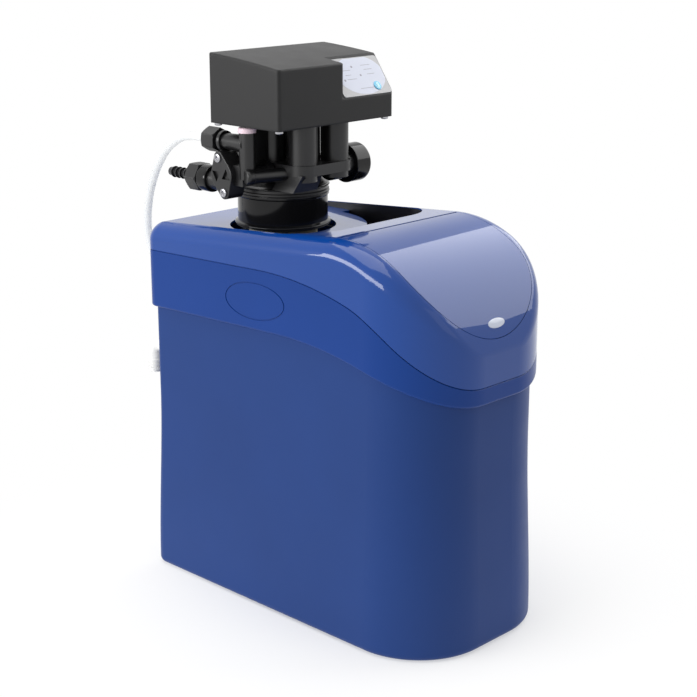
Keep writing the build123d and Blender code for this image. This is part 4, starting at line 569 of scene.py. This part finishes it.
class SOFTENER_OT_brine_tube(bpy.types.Operator):
    """Lays the brine tube from its nut, over and down behind the cabinet, into the grommet"""

    bl_idname = "softener.brine_tube"
    bl_label = "Brine tube"

    def execute(self, context):
        sizes = context.scene.softener_sizes
        # Points chosen, in metres, the first at the nut and the last in the grommet
        route = [
            (-0.0840, 0.1423, 0.5330), (-0.0840, 0.1530, 0.5330), (-0.0843, 0.1700, 0.5330),
            (-0.0846, 0.1910, 0.5300), (-0.0850, 0.2190, 0.5120), (-0.0854, 0.2400, 0.4825),
            (-0.0856, 0.2540, 0.4480), (-0.0854, 0.2580, 0.4120), (-0.0848, 0.2520, 0.3860),
            (-0.0840, 0.2390, 0.3720), (-0.0840, 0.2242, 0.3720),
        ]
        curve = bpy.data.curves.new("brine_hose", "CURVE")
        curve.dimensions = "3D"
        curve.bevel_depth = sizes.tube_diameter / 2
        curve.bevel_resolution = 8
        curve.resolution_u = 16
        curve.use_fill_caps = True
        spline = curve.splines.new("NURBS")
        spline.points.add(len(route) - 1)
        for point, place in zip(spline.points, route):
            point.co = (*place, 1)
        spline.order_u = 3
        spline.use_endpoint_u = True
        hose = bpy.data.objects.new("brine_hose", curve)
        context.scene.collection.objects.link(hose)
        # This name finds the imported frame's own material, and the tube is shown with that one
        hose.data.materials.append(bpy.data.materials["tube_clear"])
        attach(hose, "cabinet")
        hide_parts("brine_tube")
        return {"FINISHED"}


class SOFTENER_OT_screws(bpy.types.Operator):
    """Makes the cross-headed screws of the injector cap and of the control head"""

    bl_idname = "softener.screws"
    bl_label = "Screws"

    def execute(self, context):
        for name, (spots, way, head, height, recess, thread, replaced) in SCREW_SETS.items():
            sheets = []
            for place, turn in spots:
                sheets += [cross_head(place, way, head, height, turn=turn, **recess),
                           shank(place, way, thread, SHANK_LENGTH)]
            show(surface(name, *sheets), "cabinet", "zinc_screws", "screw_steel", replaced)
        return {"FINISHED"}


class SOFTENER_OT_fittings(bpy.types.Operator):
    """Makes the union nuts and the fine mouldings of the valve and its injector side"""

    bl_idname = "softener.fittings"
    bl_label = "Fittings"

    def execute(self, context):
        satin = ("cabinet", "valve_satin", "valve_black")
        gloss = ("cabinet", "collar_gloss", "valve_black")
        show(surface("brine_union_nut", nut(BRINE_NUT, BACK, BRINE_NUT_FLATS, BRINE_NUT_LENGTH,
                                            BRINE_NUT_BORE, 0.0)), *satin, "brine_nut")
        show(surface("drain_union_nut", nut(DRAIN_NUT, BACK, DRAIN_NUT_FLATS, DRAIN_NUT_LENGTH,
                                            DRAIN_NUT_BORE, pi / 6, ribs=DRAIN_NUT_RIB)),
             *satin, "drain_nut")
        ring = softened(ARM_COLLAR_OUTLINE, ARM_COLLAR_ROUND)
        show(surface("brine_arm_collar", turned(ring, ARM_COLLAR, BACK)), *satin)
        show(surface("side_barrel", self.side_barrel()), *satin)
        barrel = softened(DRAIN_BARREL_OUTLINE, BARREL_ROUND)
        show(surface("drain_barrel", turned(barrel, DRAIN_BARREL, BACK)), *gloss, "drain_collar")
        show(surface("neck_beads", *(bead(*sizes) for sizes in NECK_BEADS)), *gloss)
        show(surface("valve_webs", *(slab(low, high) for low, high in WEB_PLATES)), *satin)
        return {"FINISHED"}

    def side_barrel(self):
        """Round boss with a thicker end, turned about the line between its two ends."""
        start, end = SIDE_BARREL
        run = np.linalg.norm(end - start)
        profile = softened([*SIDE_BARREL_OUTLINE, (SIDE_BARREL_RADIUS, run)], BARREL_ROUND)
        return turned(np.vstack([profile, [(0, run)]]), start, end - start)


class SOFTENER_OT_hood_details(bpy.types.Operator):
    """Makes a near-black sheet of painted shade inside the valve recess, and the plain oval near the
    lid's tip
    """

    bl_idname = "softener.hood_details"
    bl_label = "Hood details"

    def execute(self, context):
        sizes = context.scene.softener_sizes
        # The recess's blue wall and pocket floor are darkened by a sheet of painted shade
        show(self.shade_sheet(), "cabinet", "recess_painted_shade", "black_gloss")
        show(self.oval(sizes.oval_width / MM, sizes.oval_height / MM), "lid", "oval_film",
             "panel_silver")
        return {"FINISHED"}

    def outline(self):
        """Plan of the recess, just inside its wall: two straight sides, the front and its corners."""
        half, front, corner = RECESS_HALF - SHADE_SHEET_INSET, RECESS_FRONT + SHADE_SHEET_INSET, RECESS_CORNER - SHADE_SHEET_INSET
        quarter = np.linspace(0, pi / 2, 25)
        near, far = corner - corner * np.cos(quarter), corner - corner * np.sin(quarter)
        sides = np.linspace(RECESS_REAR, front + corner, 40)[:-1]
        across = np.linspace(-half + corner, half - corner, 30)[1:-1]
        x = np.concatenate([np.full_like(sides, -half), near - half, across, half - far,
                            np.full_like(sides, half)])
        y = np.concatenate([sides, front + far, np.full_like(across, front), front + near, sides[::-1]])
        return x, y

    def shade_sheet(self):
        """Near-black sheet of painted shade on the recess wall, from the floor up to just under the rim.

        The rim falls to the rear in a straight line from the crest. In front of the deck, the
        pocket's floor and the step up to the deck carry the same painted shade.
        """
        x, y = self.outline()
        reach = np.hypot(x - NECK[0], y - NECK[1])
        in_pocket = (reach > DECK_RADIUS + SHADE_SHEET_INSET * 2) & (y < NECK[1])
        low = np.where(in_pocket, POCKET_LEVEL, DECK_LEVEL) + SHADE_SHEET_INSET
        rim = CREST_TOP - (y - CREST_Y) * REAR_FALL - RIM_DROP
        wall = self.over(x, y, low + (rim - low) * np.linspace(0, 1, 9)[:, None])
        edge = np.stack([x, y], -1)[y < POCKET_REAR]
        ray = edge - np.array(NECK)
        far = np.hypot(*ray.T)[:, None]
        near = np.array(NECK) + ray / far * np.minimum(DECK_RADIUS + STEP_GAP, far)
        floor = near + (edge - near) * np.linspace(0, 1, 6)[:, None, None]
        floor = self.over(floor[..., 0], floor[..., 1], POCKET_LEVEL + SHADE_SHEET_INSET)
        lift = np.linspace(DECK_LEVEL - STEP_GAP, POCKET_LEVEL + SHADE_SHEET_INSET, 5)[:, None]
        step = self.over(near[:, 0], near[:, 1], lift)
        return surface("recess_shade_sheet", (wall, False, False), (floor, False, False),
                       (step, False, False), outward=False)

    def over(self, x, y, level):
        """Points over places of the plan, at each of the levels."""
        return np.stack(np.broadcast_arrays(x, y, level), -1)

    def oval(self, width, height):
        """Shallow domed oval: an ellipse laid on the lid's nose arc, its edge softened over a ring."""
        share, lift = columns(LID_OVAL_PROFILE)
        angle = round_angles(72)
        x = share * width / 2 * np.cos(angle)
        fall = LID_OVAL_TURN - share * height / 2 * np.sin(angle) / CREST_RADIUS
        out = CREST_RADIUS + lift
        grid = np.stack([x, CREST_Y - out * np.sin(fall), CREST_CENTRE + out * np.cos(fall)], -1)
        return surface("lid_oval", (grid, False, True))


class SOFTENER_OT_panel_face(bpy.types.Operator):
    """Prints the display: a pale oval, small lamp windows, plain rules and the button's mark"""

    bl_idname = "softener.panel_face"
    bl_label = "Panel face"

    def execute(self, context):
        show(surface("panel_oval", self.oval()), "cabinet", "panel_lilac", "panel_silver")
        marks = [*(self.window(*place) for place in WINDOWS), *(self.rule(*place) for place in RULES)]
        show(surface("panel_marks", *marks, outward=False), "cabinet", "panel_print", "panel_silver")
        show(surface("button_mark", self.button_mark()), "button", "button_pale", "button_cyan")
        return {"FINISHED"}

    def laid(self, across, up, out):
        """Points of the display slope from their distances across it, up it and out of it."""
        return (SLOPE_FOOT + across[..., None] * ACROSS + up[..., None] * SLOPE_UP
                + out[..., None] * SLOPE_OUT)

    def oval(self):
        """Ellipse cut off at the film's edges; points over the button move out to its hole's rim."""
        share, lift = columns(FILM_OVAL_PROFILE)
        angle = round_angles(96)
        x = np.clip(FILM_OVAL[0] + share * FILM_OVAL_HALVES[0] * np.cos(angle), -FILM_HALF, FILM_HALF)
        y = np.clip(FILM_OVAL[1] + share * FILM_OVAL_HALVES[1] * np.sin(angle), FILM_LOW, FILM_TOP)
        reach = np.hypot(x - BUTTON[0], y - BUTTON[1])
        pull = np.where(reach < BUTTON_HOLE, BUTTON_HOLE / np.maximum(reach, 1e-6), 1.0)
        x, y = BUTTON[0] + (x - BUTTON[0]) * pull, BUTTON[1] + (y - BUTTON[1]) * pull
        return self.laid(x, y, lift), False, True

    def window(self, across, up):
        """Small round lamp window, a low dome."""
        reach, lift = columns(WINDOW_PROFILE)
        angle = round_angles(24)
        return self.laid(across + reach * np.cos(angle), up + reach * np.sin(angle), lift), False, True

    def rule(self, across, up, length):
        """Plain thin line, one flat strip."""
        u, v = np.meshgrid([across, across + length], [up - RULE_HALF, up + RULE_HALF], indexing="ij")
        return self.laid(u, v, np.full(u.shape, RULE_FACE)), False, False

    def button_mark(self):
        """Pale figure on the button, a rounded upright shape.

        Half the width is the waist plus the swell times the sine, without its sign, to the power 0.7.
        """
        share, lift = columns(BUTTON_MARK_PROFILE)
        angle = round_angles(48)
        width = BUTTON_MARK_WAIST + BUTTON_MARK_SWELL * np.abs(np.sin(angle)) ** 0.7
        x = BUTTON[0] + share * width * np.cos(angle)
        y = BUTTON[1] + share * BUTTON_MARK_HALF * np.sin(angle)
        return self.laid(x, y, lift), False, True


class SOFTENER_OT_stage(bpy.types.Operator):
    """Sets up the pale floor, the soft lamps and the camera"""

    bl_idname = "softener.stage"
    bl_label = "Stage"

    def execute(self, context):
        scene = context.scene
        self.floor()
        self.world(scene)
        for name, (place, aim, (width, height), power) in LAMPS.items():
            lamp = bpy.data.lights.new(name, "AREA")
            lamp.shape = "RECTANGLE"
            lamp.size, lamp.size_y = width, height
            lamp.energy = power
            self.placed(scene, name, lamp, place, Vector(aim) - Vector(place))
        lens = bpy.data.cameras.new("photo_camera")
        lens.sensor_width = SENSOR
        lens.lens = FOCAL_PIXELS / PHOTO_WIDTH * SENSOR
        scene.camera = self.placed(scene, "photo_camera", lens, CAMERA_PLACE, Vector(CAMERA_WAY))
        scene.view_settings.view_transform = "Standard"
        return {"FINISHED"}

    def placed(self, scene, name, data, place, way):
        """Lamp or camera put at its place, looking along the given way."""
        holder = bpy.data.objects.new(name, data)
        holder.location = place
        holder.rotation_mode = "QUATERNION"
        holder.rotation_quaternion = way.to_track_quat("-Z", "Y")
        scene.collection.objects.link(holder)
        return holder

    def seen(self, tree):
        """1 for camera, glossy and transmission rays, and 0 for the rest."""
        paths = node(tree, "ShaderNodeLightPath")
        total = paths.outputs["Is Camera Ray"]
        for ray in ("Is Glossy Ray", "Is Transmission Ray"):
            more = node(tree, "ShaderNodeMath", Operation="MAXIMUM")
            tree.links.new(total, more.inputs[0])
            tree.links.new(paths.outputs[ray], more.inputs[1])
            total = more.outputs[0]
        return total

    def floor(self):
        """Flat round sheet of studio paper that turns into the white backdrop far from the object.

        The backdrop is white as seen and as mirrored. Its light on the object falls off outward.
        """
        reach, angle = PAPER_RINGS[:, None], round_angles(96)
        x, y = reach * np.cos(angle) / MM, reach * np.sin(angle) / MM
        grid = np.stack([x, y, np.full_like(x, FLOOR_LEVEL)], -1)
        sheet = surface("studio_floor", (grid, False, True), outward=False)
        material, tree, principled = shader("studio_paper")
        principled.inputs["Base Color"].default_value = PAPER_COLOUR
        principled.inputs["Roughness"].default_value = PAPER_ROUGH
        principled.inputs["Specular IOR Level"].default_value = 0.0
        place = node(tree, "ShaderNodeTexCoord")
        length = node(tree, "ShaderNodeVectorMath", Operation="LENGTH")
        tree.links.new(place.outputs["Object"], length.inputs[0])
        share = ranged(tree, length.outputs["Value"], low=0.0, high=1.0, start=PAPER_TURNS[0],
                       end=PAPER_TURNS[1], smooth=True)
        bounce = ranged(tree, length.outputs["Value"], low=BOUNCE_LIGHT[0], high=BOUNCE_LIGHT[1],
                        start=BOUNCE_REACH[0], end=BOUNCE_REACH[1])
        strength = node(tree, "ShaderNodeMapRange")
        tree.links.new(self.seen(tree), strength.inputs["Value"])
        tree.links.new(bounce, strength.inputs["To Min"])
        glow = node(tree, "ShaderNodeEmission")
        tree.links.new(strength.outputs["Result"], glow.inputs["Strength"])
        mix = node(tree, "ShaderNodeMixShader")
        tree.links.new(share, mix.inputs[0])
        tree.links.new(principled.outputs[0], mix.inputs[1])
        tree.links.new(glow.outputs[0], mix.inputs[2])
        tree.links.new(mix.outputs[0], tree.nodes["Material Output"].inputs["Surface"])
        sheet.data.materials.append(material)

    def world(self, scene):
        """White room: white as seen and as mirrored, and a little less as a light."""
        world = bpy.data.worlds.new("studio_world")
        scene.world = world
        world.use_nodes = True
        tree = world.node_tree
        background = tree.nodes["Background"]
        background.inputs["Color"].default_value = (1, 1, 1, 1)
        strength = ranged(tree, self.seen(tree), low=ROOM_LIGHT, high=1.0)
        tree.links.new(strength, background.inputs["Strength"])


class SOFTENER_PT_panel(bpy.types.Panel):
    """Lists the steps of the softener's finish"""

    bl_idname = "SOFTENER_PT_panel"
    bl_label = "Softener"
    bl_space_type = "VIEW_3D"
    bl_region_type = "UI"
    bl_category = "Softener"

    def draw(self, context):
        column = self.layout.column()
        for step in steps:
            column.operator(step.bl_idname)
        for group in (context.scene.softener_colours, context.scene.softener_sizes):
            for name in group.__annotations__:
                column.prop(group, name)


steps = (SOFTENER_OT_finishes, SOFTENER_OT_brine_tube, SOFTENER_OT_screws, SOFTENER_OT_fittings,
         SOFTENER_OT_hood_details, SOFTENER_OT_panel_face, SOFTENER_OT_stage)
classes = (SoftenerColours, SoftenerSizes, *steps, SOFTENER_PT_panel)


def register():
    for item in classes:
        bpy.utils.register_class(item)
    bpy.types.Scene.softener_colours = bpy.props.PointerProperty(type=SoftenerColours)
    bpy.types.Scene.softener_sizes = bpy.props.PointerProperty(type=SoftenerSizes)


def unregister():
    del bpy.types.Scene.softener_sizes
    del bpy.types.Scene.softener_colours
    for item in reversed(classes):
        bpy.utils.unregister_class(item)


def main():
    """Registers the add-on and runs every step in order."""
    register()
    for step in steps:
        group, name = step.bl_idname.split(".")
        getattr(getattr(bpy.ops, group), name)()


if __name__ == "__main__":
    main()
